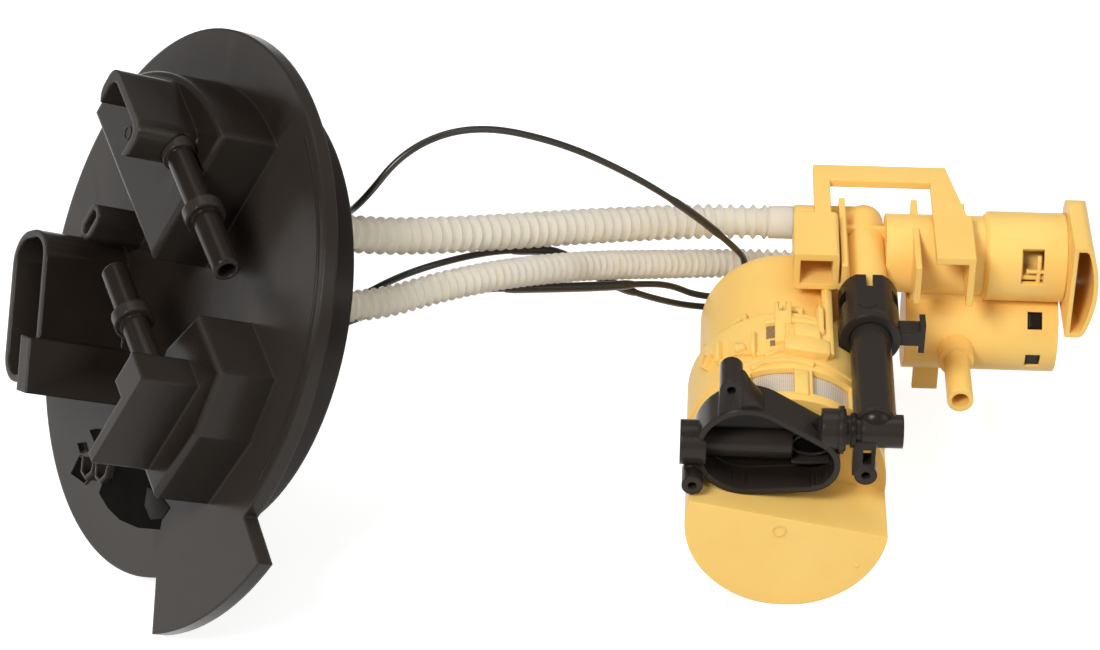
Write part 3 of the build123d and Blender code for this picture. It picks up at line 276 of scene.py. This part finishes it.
slots = {
    "blackResin": ["tank_cover", "supply_nipple", "return_nipple", "supply_barb", "return_barb", "cover_plug",
                   "quick_connector", "connector_latch", "jet_scoop", "jet_pipe", "filter_cap"],
    "ochreResin": ["strainer_cap", "pump_housing", "barrel_holder", "outlet_hood", "filter_plug", "regulator_seat",
                   "pump_plug"],
    "strainerNet": ["strainer_mesh"],
    "platedTerminal": ["terminal_blades"],
    "motorSteel": ["motor_can", "regulator_spring"],
    "magnetFerrite": ["left_magnet", "right_magnet"],
    "pumpMetal": ["pump_cover", "pump_body"],
    "innerResin": ["brush_holder", "impeller", "outlet_check_valve", "regulator_poppet"],
    "carbonBlock": ["carbon_brushes"],
    "isolatorRubber": ["motor_isolators"],
    "windingCore": ["armature"],
    "filterPaper": ["filter_element"],
}
for finish, names in slots.items():
    for name in names:
        nodes[name].data.materials.clear()
        nodes[name].data.materials.append(material[finish])


# piece helpers
def addPiece(name, mesh, finish, body="root"):
    piece = bpy.data.objects.new(name, mesh)
    bpy.context.scene.collection.objects.link(piece)
    mesh.materials.append(material[finish])
    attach(piece, body)
    return piece


def smooth(mesh, limit=40):
    mesh.polygons.foreach_set("use_smooth", [True] * len(mesh.polygons))
    mesh.set_sharp_from_angle(angle=math.radians(limit))


def routeLine(route, steps=24):
    curve = bpy.data.curves.new("routeCurve", "CURVE")
    curve.dimensions = "3D"
    curve.resolution_u = steps
    spline = curve.splines.new("NURBS")
    spline.points.add(len(route) - 1)
    for point, spot in zip(spline.points, route):
        point.co = (*spot, 1)
    spline.order_u = 3
    spline.use_endpoint_u = True
    holder = bpy.data.objects.new("routeHolder", curve)
    line = bpy.data.meshes.new_from_object(holder)
    spots = [v.co.copy() for v in line.vertices]
    bpy.data.objects.remove(holder)
    return spots


def evenly(spots, step):
    lengths = [0.0]
    for before, here in zip(spots, spots[1:]):
        lengths.append(lengths[-1] + (here - before).length)
    total = lengths[-1]
    count = max(2, round(total / step))
    result = []
    k = 0
    for i in range(count + 1):
        want = total * i / count
        while k < len(spots) - 2 and lengths[k + 1] < want:
            k += 1
        share = (want - lengths[k]) / (lengths[k + 1] - lengths[k])
        result.append(spots[k].lerp(spots[k + 1], share))
    return result, total


def tubeMesh(name, spots, radiusAt, total, around=20):
    # rings carried along the line without twist
    count = len(spots)
    form = bmesh.new()
    rings = []
    side = None
    for i, spot in enumerate(spots):
        tangent = (spots[min(i + 1, count - 1)] - spots[max(i - 1, 0)]).normalized()
        if side is None:
            side = tangent.orthogonal().normalized()
        side = (side - tangent * side.dot(tangent)).normalized()
        other = tangent.cross(side)
        radius = radiusAt(total * i / (count - 1))
        turns = [2 * math.pi * k / around for k in range(around)]
        rings.append([form.verts.new(spot + radius * (side * math.cos(t) + other * math.sin(t))) for t in turns])
    for low, high in zip(rings, rings[1:]):
        for k in range(around):
            form.faces.new((low[k], low[(k + 1) % around], high[(k + 1) % around], high[k]))
    form.faces.new(list(reversed(rings[0])))
    form.faces.new(rings[-1])
    mesh = bpy.data.meshes.new(name)
    form.to_mesh(mesh)
    form.free()
    return mesh


# ribbed hoses: the settings are in millimetres
hoses = {
    "supplyHose": {
        "node": "supply_hose", "crest": 5.6, "valley": 4.3, "pitch": 3.6, "around": 36, "sharpness": 2.6,
        "cuffs": (5.0, 8.0), "cuffRadius": 5.2,
        "route": [(-78.3, -7.8, 107.5), (-58.1, 3.7, 95.9), (-27.3, 24.8, 84.0), (4.2, 50.0, 71.4),
                  (34.7, 71.2, 60.5), (55.7, 78.2, 57.0), (73.2, 78.2, 57.0)],
    },
    "returnHose": {
        "node": "return_hose", "crest": 4.65, "valley": 3.55, "pitch": 2.8, "around": 32, "sharpness": 2.6,
        "cuffs": (5.0, 8.0), "cuffRadius": 4.3,
        "route": [(-78.1, -24.2, 91.6), (-57.8, -12.7, 80.1), (-25.8, 10.8, 77.5), (4.1, 38.3, 64.9),
                  (32.7, 63.2, 49.8), (55.7, 76.8, 42.0), (75.7, 80.2, 40.0), (94.7, 80.2, 40.0)],
    },
}

ringsPerRib = 10


def ribbedHose(name, look):
    line = routeLine([mm(*p) for p in look["route"]])
    spots, total = evenly(line, look["pitch"] / 1000 / ringsPerRib)
    first, last = look["cuffs"]

    def radiusAt(s):
        s *= 1000
        if s < first or s > total * 1000 - last:
            return look["cuffRadius"] / 1000
        wave = 0.5 - 0.5 * math.cos(2 * math.pi * (s - first) / look["pitch"])
        return (look["valley"] + (look["crest"] - look["valley"]) * wave ** look["sharpness"]) / 1000

    mesh = tubeMesh(name, spots, radiusAt, total, look["around"])
    smooth(mesh, 50)
    piece = addPiece(name, mesh, "hoseNylon")
    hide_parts(look["node"])
    return piece


for name, look in hoses.items():
    ribbedHose(name, look)
print("hoses made")


def sleeveShare(s, span, taper=0.003, atEnd=0.8):
    return atEnd + (1 - atEnd) * min(1, s / taper, (span - s) / taper)


# leads between the cover and the pump
leads = {
    "upperLead": {"node": "upper_lead", "radius": 1.05, "sleeve": (0.80, 0.90), "sleeveRadius": 1.3,
                  "route": [(-124.7, 32.8, 48.8), (-112.2, 39.9, 41.7), (-86.5, 38.7, 62.9), (-65.4, 24.5, 88.1),
                            (-55.3, 3.8, 107.0), (-42.3, 10.8, 122.5), (-23.3, 20.8, 125.0), (0.7, 33.8, 112.0),
                            (22.8, 45.2, 93.7), (40.7, 54.8, 75.0), (54.7, 62.8, 57.0), (58.7, 68.7, 48.0),
                            (58.7, 68.7, 37.0)]},
    "middleLead": {"node": "middle_lead", "radius": 1.05, "sleeve": (0.62, 0.84), "sleeveRadius": 1.55,
                   "route": [(-124.2, 28.3, 45.1), (-110.1, 36.3, 37.1), (-79.6, 25.0, 47.9), (-59.3, 8.8, 70.0),
                             (-43.6, 12.8, 77.9), (-24.0, 30.2, 73.8), (-10.3, 41.2, 68.5), (0.7, 48.8, 63.0),
                             (10.7, 52.2, 52.5), (20.7, 53.8, 46.0), (32.7, 59.8, 38.0), (43.7, 68.7, 30.0),
                             (52.7, 68.7, 30.0)]},
    "lowerLead": {"node": "lower_lead", "radius": 1.05, "sleeve": (0.60, 0.82), "sleeveRadius": 1.55,
                  "route": [(-123.6, 23.8, 41.5), (-109.6, 31.7, 33.5), (-82.7, 14.2, 45.2), (-58.7, 2.0, 68.7),
                            (-27.2, 19.2, 68.1), (-10.8, 30.2, 61.5), (12.7, 44.8, 53.0), (25.7, 54.8, 47.8),
                            (34.7, 62.8, 42.3), (43.7, 68.7, 34.0), (52.7, 68.7, 34.0)]},
}
leadStep = 0.0012
for name, look in leads.items():
    line = routeLine([mm(*p) for p in look["route"]])
    spots, total = evenly(line, leadStep)
    mesh = tubeMesh(name, spots, lambda s: look["radius"] / 1000, total, 16)
    smooth(mesh, 60)
    piece = addPiece(name, mesh, "leadCover")
    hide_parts(look["node"])
    # sleeve over the lead near the pump
    first, last = [round(share * (len(spots) - 1)) for share in look["sleeve"]]
    cover = spots[first:last + 1]
    span = total * (last - first) / (len(spots) - 1)
    reach = look["sleeveRadius"] / 1000
    mesh = tubeMesh(name + "Sleeve", cover, lambda s: reach * sleeveShare(s, span), span, 18)
    smooth(mesh, 60)
    addPiece(name + "Sleeve", mesh, "leadCover")
print("leads made")


# flat forms in millimetres: x and y along the face, z out of it
def blockLoop(xs, ys):
    return [(xs[0], ys[0]), (xs[1], ys[0]), (xs[1], ys[1]), (xs[0], ys[1])]


def discLoop(x, y, radius, steps=40):
    turns = [2 * math.pi * k / steps for k in range(steps)]
    return [(x + radius * math.cos(t), y + radius * math.sin(t)) for t in turns]


def shrunkLoop(outline, share):
    middle = sum((Vector(spot) for spot in outline), Vector((0, 0))) / len(outline)
    return [tuple(middle + (Vector(spot) - middle) * share) for spot in outline]


def easeTop(form, high, edge, skipFlat=False):
    # rounds the rim of a flat top; the joins within the top are left when skipFlat is set
    if edge:
        top = [e for e in form.edges if all(abs(v.co.z - high) < 1e-6 for v in e.verts)]
        if skipFlat:
            top = [e for e in top if e.is_manifold and e.calc_face_angle(0) > 0.5]
        bmesh.ops.bevel(form, geom=top, offset=edge, segments=2, profile=0.5, affect="EDGES", clamp_overlap=True)


def plateForm(outline, low, high, edge=0.25):
    form = bmesh.new()
    floorRing = [form.verts.new((x, y, low)) for x, y in outline]
    roofRing = [form.verts.new((x, y, high)) for x, y in outline]
    count = len(outline)
    form.faces.new(list(reversed(floorRing)))
    form.faces.new(roofRing)
    for k in range(count):
        after = (k + 1) % count
        form.faces.new((floorRing[k], floorRing[after], roofRing[after], roofRing[k]))
    easeTop(form, high, edge)
    return form


def frameForm(outer, inner, low, high, edge=0.2):
    form = bmesh.new()
    rings = [[form.verts.new((x, y, z)) for x, y in loop]
             for loop, z in ((outer, low), (outer, high), (inner, high), (inner, low))]
    count = len(outer)
    for ring, follow in zip(rings, rings[1:] + rings[:1]):
        for k in range(count):
            after = (k + 1) % count
            form.faces.new((ring[k], ring[after], follow[after], follow[k]))
    easeTop(form, high, edge, True)
    return form


def ringForm(look):
    # a thin raised circle
    x, y = look["at"]
    inner = discLoop(x, y, look["radius"] - look["line"])
    return frameForm(discLoop(x, y, look["radius"]), inner, look["low"], look["high"], look["edge"])


def ridgeForm(spots, width, low, high, edge=0.2):
    # a raised line of even width through the spots
    left = []
    right = []
    for i, spot in enumerate(spots):
        before = Vector(spots[max(i - 1, 0)])
        after = Vector(spots[min(i + 1, len(spots) - 1)])
        along = (after - before).normalized()
        across = Vector((-along.y, along.x)) * width / 2
        left.append(tuple(Vector(spot) + across))
        right.append(tuple(Vector(spot) - across))
    return plateForm(right + left[::-1], low, high, edge)


def settle(name, form, finish, toPlace, strip=0.0):
    # a flat form cut into narrow strips can follow a curved wall
    if strip:
        low = min(v.co.x for v in form.verts)
        high = max(v.co.x for v in form.verts)
        for k in range(1, math.ceil((high - low) / strip)):
            bmesh.ops.bisect_plane(form, geom=form.verts[:] + form.edges[:] + form.faces[:], dist=1e-5,
                                   plane_co=(low + k * strip, 0, 0), plane_no=(1, 0, 0))
    for vert in form.verts:
        vert.co = toPlace(vert.co)
    bmesh.ops.recalc_face_normals(form, faces=form.faces[:])
    mesh = bpy.data.meshes.new(name)
    form.to_mesh(mesh)
    form.free()
    smooth(mesh, 35)
    addPiece(name, mesh, finish)


# the pot's wall: x is degrees round from the right, y is the depth behind the end plate
potWall = {"radius": 29.6, "strip": 1.0, "sink": -0.6, "edge": 0.3, "gapSink": -0.4, "gapHigh": 0.06}
wallRadius = potWall["radius"]


def roundWall(spot):
    turn = spot.x / wallRadius
    reach = wallRadius + spot.z
    return mm(potSpot["x"] + reach * math.cos(turn), potSpot["y"] + spot.y, potSpot["z"] + reach * math.sin(turn))


def unrolled(spots):
    return [(math.radians(turn) * wallRadius, depth) for turn, depth in spots]


wallPlates = {
    "snapArm": {"outline": [(88.3, 49.5), (97.8, 49.5), (97.8, 70), (95.3, 70), (95.3, 65), (91.4, 65), (91.4, 70),
                            (88.3, 70)], "high": 1.5},
    "padBody": {"outline": [(67.9, 44.5), (76, 43.3), (86, 43.3), (92.6, 44.3), (92.6, 51), (67.9, 51)], "high": 2.9},
    "padNeck": {"outline": [(73.4, 50.5), (87.4, 50.5), (87.4, 56), (86, 57), (74.8, 57), (73.4, 56)], "high": 3.3},
    "hoopLeft": {"outline": [(97.5, 59.2), (103.1, 59.2), (103.1, 61.3), (97.5, 61.3)], "high": 1.6},
    "hoopRight": {"outline": [(70, 59.4), (88.4, 59.4), (88.4, 62), (70, 62)], "high": 1.6},
    "guideLeft": {"outline": [(131, 50), (134.6, 50), (134.6, 59), (131, 59)], "high": 2.2},
    "guideMiddle": {"outline": [(108.8, 44.5), (111.1, 44.5), (111.1, 55.5), (108.8, 55.5)], "high": 2.2},
    "notchHook": {"outline": [(114.7, 49.7), (121.3, 49.7), (121.3, 54.8), (119, 52.6), (116.6, 52.6)], "high": 1.3},
    "bladeRight": {"outline": [(65, 46), (68.8, 46), (69.6, 58), (69.4, 80), (65, 80)], "high": 2.4},
    "bladeProng": {"outline": [(71.2, 54), (74, 54), (74, 68.5), (72.6, 66.8), (71.2, 66.6)], "high": 3.4},
    "windowBar": {"outline": [(79.5, 24.6), (87.5, 24.6), (87.5, 36.3), (79.5, 36.3)], "high": 0.75},
}
for name, look in wallPlates.items():
    form = plateForm(unrolled(look["outline"]), potWall["sink"], look["high"], potWall["edge"])
    settle(name, form, "ochreResin", roundWall, potWall["strip"])

# dark plates over the pot wall's window openings: the netting's colour with painted shade of the opening
wallGaps = {
    "gapLeft": {"turns": (97.8, 103.1), "depths": (53, 59.2)},
    "gapRight": {"turns": (80, 87.8), "depths": (56.8, 59.4)},
    "gapSmall": {"turns": (97.8, 100.8), "depths": (49, 51.8)},
}
for name, look in wallGaps.items():
    form = plateForm(unrolled(blockLoop(look["turns"], look["depths"])), potWall["gapSink"], potWall["gapHigh"], 0)
    settle(name, form, "gapNetShade", roundWall, potWall["strip"])

wallRidges = {
    "windowRib": {"spots": [(112, 38.6), (106, 39.9), (100, 40.4), (92, 40.6), (84, 40.4), (76, 39.8)],
                  "width": 1.5, "high": 1.0},
    "stepLeft": {"spots": [(134, 49.6), (128, 49.2), (121, 48.5), (115, 47.2), (110, 45.8), (104, 44.2)],
                 "width": 1.0, "high": 1.0},
    "stepRight": {"spots": [(104, 44.2), (100, 44.6), (96, 45.4), (92.6, 45.6)], "width": 1.0, "high": 0.9},
}
for name, look in wallRidges.items():
    form = ridgeForm(unrolled(look["spots"]), look["width"], potWall["sink"], look["high"])
    settle(name, form, "ochreResin", roundWall, potWall["strip"])

lozenge = {"turns": (138, 149), "depths": (51, 60), "innerShare": 0.55, "high": 1.9}
middleTurn = sum(lozenge["turns"]) / 2
middleDepth = sum(lozenge["depths"]) / 2
corners = unrolled([(lozenge["turns"][1], middleDepth), (middleTurn, lozenge["depths"][1]),
                    (lozenge["turns"][0], middleDepth), (middleTurn, lozenge["depths"][0])])
inner = shrunkLoop(corners, lozenge["innerShare"])
settle("lozengeCatch", frameForm(corners, inner, potWall["sink"], lozenge["high"]), "ochreResin", roundWall,
       potWall["strip"])
print("pot wall dressed")

# inside of the scoop, measured from the pot's axis and the end plate
scoop = {
    "back": 18.2, "sink": -0.2, "boreAt": (6.6, 16.6), "boreSize": (5.9, 3.9), "boreLip": 0.7, "lipHigh": 1.0,
    "floorHigh": 0.12, "discDepth": 13.5, "discHeight": 25.4,
}
# a long half round, narrower at both ends: how far each end tapers and to what share
scoopRamp = {
    "from": -26.2, "to": 1.2, "height": 16.4, "radius": 4.9, "reach": 4.2, "fromEnd": (0.8, 0.82),
    "toEnd": (0.6, 0.93), "steps": 14,
}
scoopShelf = {"spots": [(1.0, 11.9), (7.0, 11.9), (12.2, 12.3)], "width": 0.9, "high": 3.4}


def scoopBack(spot):
    return mm(potSpot["x"] + spot.x, potSpot["y"] + scoop["back"] - spot.z, potSpot["z"] + spot.y)


def halfRound(look, low):
    form = bmesh.new()
    rings = []
    steps = look["steps"]
    fromTaper, fromShare = look["fromEnd"]
    toTaper, toShare = look["toEnd"]
    ends = [(look["from"], fromShare), (look["from"] + fromTaper, 1.0), (look["to"] - toTaper, 1.0),
            (look["to"], toShare)]
    for x, share in ends:
        ring = []
        for k in range(steps + 1):
            turn = math.pi * k / steps
            ring.append(form.verts.new((x, look["height"] - look["radius"] * share * math.cos(turn),
                                        look["reach"] * share * math.sin(turn) + low)))
        rings.append(ring)
    for ring, follow in zip(rings, rings[1:]):
        for k in range(steps):
            form.faces.new((ring[k], ring[k + 1], follow[k + 1], follow[k]))
        form.faces.new((ring[0], follow[0], follow[steps], ring[steps]))
    form.faces.new(rings[0])
    form.faces.new(list(reversed(rings[-1])))
    return form


def ovalLoop(x, y, wide, high):
    return [(x + across * wide, y + up * high) for across, up in discLoop(0, 0, 1.0)]


settle("scoopRamp", halfRound(scoopRamp, scoop["sink"]), "blackResin", scoopBack)
boreWide, boreHigh = scoop["boreSize"]
ovalOuter = ovalLoop(*scoop["boreAt"], boreWide, boreHigh)
ovalInner = ovalLoop(*scoop["boreAt"], boreWide - scoop["boreLip"], boreHigh - scoop["boreLip"])
boreLip = frameForm(ovalOuter, ovalInner, scoop["sink"], scoop["lipHigh"])
settle("scoopBoreLip", boreLip, "blackResin", scoopBack)
# the bore's opening is a flat oval plate of painted shade inside its lip
settle("scoopBore", plateForm(ovalInner, scoop["sink"], scoop["floorHigh"], 0), "deepShade", scoopBack)
shelf = ridgeForm(scoopShelf["spots"], scoopShelf["width"], scoop["sink"], scoopShelf["high"])
settle("scoopShelf", shelf, "blackResin", scoopBack)


def acrossPot(spot):
    # discs that face along x
    return mm(potSpot["x"] + spot.z, potSpot["y"] + scoop["discDepth"] + spot.x,
              potSpot["z"] + scoop["discHeight"] + spot.y)


# radius, near side and far side
neckRings = {"scoopFlange": (7.0, 13.9, 15.5), "scoopNeck": (4.3, 15.2, 21.2), "neckRing": (5.1, 17.4, 18.8)}
for name, (radius, near, far) in neckRings.items():
    settle(name, plateForm(discLoop(0, 0, radius, 56), near, far, 0.3), "blackResin", acrossPot)
# web that stiffens the upper screw boss
bossWeb = {
    "outline": [(-14.8, 44.2), (-13.6, 43.6), (-11.6, 40.2), (-7.2, 34.6), (-14.8, 34.6)],
    "depths": (-16.0, -8.3), "edge": 0.4,
}
settle("bossWeb", plateForm(bossWeb["outline"], *bossWeb["depths"], bossWeb["edge"]), "blackResin",
       lambda spot: mm(potSpot["x"] + spot.x, potSpot["y"] - spot.z, potSpot["z"] + spot.y))

# rounded foot of the riser where it runs into the cross tube
elbow = {"centre": (95.15, -26.6, 56.6), "radii": (5.7, 4.3, 5.9)}
form = bmesh.new()
bmesh.ops.create_uvsphere(form, u_segments=44, v_segments=24, radius=1)
elbowX, elbowY, elbowZ = elbow["centre"]
wide, deep, tall = elbow["radii"]
settle("riserFoot", form, "blackResin",
       lambda spot: mm(elbowX + spot.x * wide, elbowY + spot.y * deep, elbowZ + spot.z * tall))
print("scoop dressed")

# the cover's outer face: x and y along the row of nipples and across it
coverFace = {
    "centre": (-110.75, -1.45, 75.0), "along": (0.3952, -0.8966, -0.2000), "across": (0.4871, 0.0200, 0.8731),
    "out": (-0.7788, -0.4424, 0.4446), "sink": -0.3,
}


def onCover(spot):
    place = Vector(coverFace["centre"])
    place += spot.x * Vector(coverFace["along"]) + spot.y * Vector(coverFace["across"])
    place += spot.z * Vector(coverFace["out"])
    return place / 1000


coverCuts = {
    "cutUpper": [(-3.8, -58.6), (-1.1, -55.0), (4.3, -50.3), (6.8, -54.8), (4.9, -58.0)],
    "cutLeft": [(-5.7, -66.4), (-2.8, -62.9), (0.7, -63.2), (-1.4, -66.6)],
    "cutLower": [(-0.6, -74.8), (-1.6, -67.4), (3.0, -64.6), (10.0, -64.2), (9.0, -69.5)],
}
cutLip = {"innerShare": 0.92, "high": 0.5, "edge": 0.1, "floorHigh": 0.05}
# each cut-out's floor is a flat plate of painted shade inside a raised lip
for name, outline in coverCuts.items():
    settle(name, plateForm(outline, coverFace["sink"], cutLip["floorHigh"], 0), "deepShade", onCover)
    inner = shrunkLoop(outline, cutLip["innerShare"])
    form = frameForm(outline, inner, coverFace["sink"], cutLip["high"], cutLip["edge"])
    settle(name + "Lip", form, "blackResin", onCover)

clips = {
    "clipOne": [(3.4, -63.2), (6.6, -66.4), (10.2, -65.6), (11.6, -61.8), (9.4, -58.6)],
    "clipTwo": [(10.9, -58.0), (14.2, -60.6), (17.6, -59.4), (18.6, -55.9), (16.6, -53.0)],
}
clipSize = {"width": 1.1, "high": 2.4}
for name, spots in clips.items():
    settle(name, ridgeForm(spots, clipSize["width"], coverFace["sink"], clipSize["high"]), "blackResin", onCover)

rimBead = {"radius": 78.4, "turns": (4, 80), "width": 0.8, "high": 0.3, "edge": 0.12, "steps": 64}
first, last = rimBead["turns"]
turns = [math.radians(first + (last - first) * k / rimBead["steps"]) for k in range(rimBead["steps"] + 1)]
bead = ridgeForm([(rimBead["radius"] * math.cos(t), rimBead["radius"] * math.sin(t)) for t in turns],
                 rimBead["width"], coverFace["sink"], rimBead["high"], rimBead["edge"])
settle("rimBead", bead, "blackResin", onCover)

# the pocket: its floor is a flat plate of painted shade, and its sloping inner wall takes a darker copy of the black
# resin as painted shade
pocket = {
    "floor": [(14.0, -55.0), (31.0, -40.0), (43.1, -37.5), (50.7, -35.3), (50.3, -40.5), (52.1, -43.1), (42.7, -52.5),
              (33.1, -59.4), (24.9, -63.0), (17.0, -64.7)],
    "floorHigh": 0.06,
    "wall": [(36.5, -41.6), (43.1, -37.5), (50.7, -35.3), (50.3, -40.5), (46.0, -45.4), (40.0, -45.8)],
    "wallHigh": 0.3, "wallEdge": 0.1,
}
settle("pocketFloor", plateForm(pocket["floor"], coverFace["sink"], pocket["floorHigh"], 0), "deepShade", onCover)
form = plateForm(pocket["wall"], coverFace["sink"], pocket["wallHigh"], pocket["wallEdge"])
settle("pocketWall", form, "pocketShadedResin", onCover)
domeMark = {"at": (-37.9, 29.2), "radius": 2.2, "line": 0.45, "low": 18.1, "high": 18.55, "edge": 0.08}
settle("domeMark", ringForm(domeMark), "blackResin", onCover)
print("cover dressed")


# small marks on the pot's end plate
def onEndPlate(spot):
    return mm(spot.x, potSpot["y"] - spot.z, spot.y)


endMark = {"at": (68.6, 27.8), "radius": 2.1, "line": 0.5, "low": -0.2, "high": 0.22, "edge": 0.08}
settle("endPlateMark", ringForm(endMark), "ochreResin", onEndPlate)
endPip = {"at": (91.8, 15.6), "radius": 0.6, "steps": 16, "low": -0.2, "high": 0.3, "edge": 0.12}
pipLoop = discLoop(*endPip["at"], endPip["radius"], endPip["steps"])
settle("endPlatePip", plateForm(pipLoop, endPip["low"], endPip["high"], endPip["edge"]), "ochreResin", onEndPlate)


# cross ribs in the regulator's window, laid out round its barrel: reach along it and degrees round it
regulatorBarrel = {
    "radius": 13.0, "y": 62.9, "z": 56.6, "low": -2.4, "high": -0.9, "edge": 0.2, "strip": 1.0,
    "ribs": {"windowPost": ((147.5, 148.7), (-12, 36)), "windowRail": ((144.4, 151.4), (8.5, 13.5))},
}


def regulatorWall(spot):
    turn = spot.x / regulatorBarrel["radius"]
    reach = regulatorBarrel["radius"] + spot.z
    return mm(spot.y, regulatorBarrel["y"] - reach * math.cos(turn), regulatorBarrel["z"] + reach * math.sin(turn))


for name, (along, turns) in regulatorBarrel["ribs"].items():
    block = blockLoop([math.radians(t) * regulatorBarrel["radius"] for t in turns], along)
    form = plateForm(block, regulatorBarrel["low"], regulatorBarrel["high"], regulatorBarrel["edge"])
    settle(name, form, "ochreResin", regulatorWall, regulatorBarrel["strip"])


# quick connector: side windows as dark plates of painted shade, and the curved line on its flat
connector = {
    "x": 95.15, "z": 56.93, "radius": 9.1, "strip": 0.8, "flat": 65.2,
    "windows": {"connectorWindow1": (14, 42), "connectorWindow2": (138, 166)},
    "windowDepths": (27.2, 32.6), "windowLow": -0.3, "windowHigh": 0.05,
    "line": [(91.5, 21.8), (92.3, 20.5), (94.1, 19.9), (95.9, 20.5), (96.7, 21.8)],
    "lineWidth": 0.45, "lineLow": -0.1, "lineHigh": 0.22, "lineEdge": 0.1,
}


def connectorWall(spot):
    turn = spot.x / connector["radius"]
    reach = connector["radius"] + spot.z
    return mm(connector["x"] + reach * math.cos(turn), spot.y, connector["z"] + reach * math.sin(turn))


def connectorFlat(spot):
    return mm(spot.x, spot.y, connector["flat"] + spot.z)


for name, turns in connector["windows"].items():
    block = blockLoop([math.radians(t) * connector["radius"] for t in turns], connector["windowDepths"])
    form = plateForm(block, connector["windowLow"], connector["windowHigh"], 0)
    settle(name, form, "deepShade", connectorWall, connector["strip"])
form = ridgeForm(connector["line"], connector["lineWidth"], connector["lineLow"], connector["lineHigh"],
                 connector["lineEdge"])
settle("connectorLine", form, "blackResin", connectorFlat)

# two small nubs under the bracket's bar
nubs = {"x": {"barNub1": 90.8, "barNub2": 111.0}, "half": 1.3, "y": (80.4, 82.2), "z": (69.5, 71.2), "edge": 0.15}
for name, x in nubs["x"].items():
    form = plateForm(blockLoop((x - nubs["half"], x + nubs["half"]), nubs["y"]), *nubs["z"], nubs["edge"])
    settle(name, form, "ochreResin", lambda spot: spot / 1000)
print("small marks made")

# floor, world and lamps
studio = {"white": 0.58, "lift": 0.79, "world": 0.28, "floorSize": 4.0, "aim": (0, 0, 0.06)}
floorData = bpy.data.meshes.new("floor")
reach = studio["floorSize"]
corners = [(x, y, 0) for x, y in blockLoop((-reach, reach), (-reach, reach))]
floorData.from_pydata(corners, [], [(0, 1, 2, 3)])
floor = bpy.data.objects.new("floor", floorData)
bpy.context.scene.collection.objects.link(floor)
floorMaterial, tree, shader = newMaterial("paleFloor")
shader.inputs["Base Color"].default_value = (studio["white"],) * 3 + (1,)
shader.inputs["Roughness"].default_value = 0.9
shader.inputs["Specular IOR Level"].default_value = 0.1
# the floor glows to the camera, in reflections and through clear parts, and doesn't light what stands on it
path = addNode(tree, "ShaderNodeLightPath")
seen = mathOf(tree, "MAXIMUM", path.outputs["Is Camera Ray"], path.outputs["Is Glossy Ray"])
seen = mathOf(tree, "MAXIMUM", seen, path.outputs["Is Transmission Ray"])
glow = addNode(tree, "ShaderNodeEmission")
glow.inputs["Color"].default_value = (1, 1, 1, 1)
tree.links.new(mathOf(tree, "MULTIPLY", seen, studio["lift"]), glow.inputs["Strength"])
both = addNode(tree, "ShaderNodeAddShader")
tree.links.new(shader.outputs[0], both.inputs[0])
tree.links.new(glow.outputs[0], both.inputs[1])
tree.links.new(both.outputs[0], tree.nodes["Material Output"].inputs["Surface"])
floorData.materials.append(floorMaterial)

world = bpy.data.worlds.new("studio")
bpy.context.scene.world = world
world.use_nodes = True
tree = world.node_tree
background = tree.nodes["Background"]
background.inputs["Color"].default_value = (1, 1, 1, 1)
path = addNode(tree, "ShaderNodeLightPath")
strength = mapOver(tree, path.outputs["Is Camera Ray"], studio["world"], 1.0)
tree.links.new(strength, background.inputs["Strength"])

lamps = {
    "keyLamp": {"place": (-0.55, -1.0, 1.25), "size": (0.5, 0.4), "power": 21.0, "colour": (1.0, 0.985, 0.96)},
    "fillLamp": {"place": (1.15, -0.55, 0.85), "size": (0.8, 0.8), "power": 4.5, "colour": (1.0, 0.99, 0.98)},
    "topLamp": {"place": (0.0, 0.45, 1.5), "size": (1.4, 0.7), "power": 5.5, "colour": (1.0, 1.0, 1.0)},
}
for name, look in lamps.items():
    lampData = bpy.data.lights.new(name, "AREA")
    lampData.shape = "RECTANGLE"
    lampData.size, lampData.size_y = look["size"]
    lampData.energy = look["power"]
    lampData.color = look["colour"]
    lamp = bpy.data.objects.new(name, lampData)
    lamp.location = look["place"]
    lamp.rotation_euler = (Vector(studio["aim"]) - lamp.location).to_track_quat("-Z", "Y").to_euler()
    bpy.context.scene.collection.objects.link(lamp)
print("floor and lamps set")
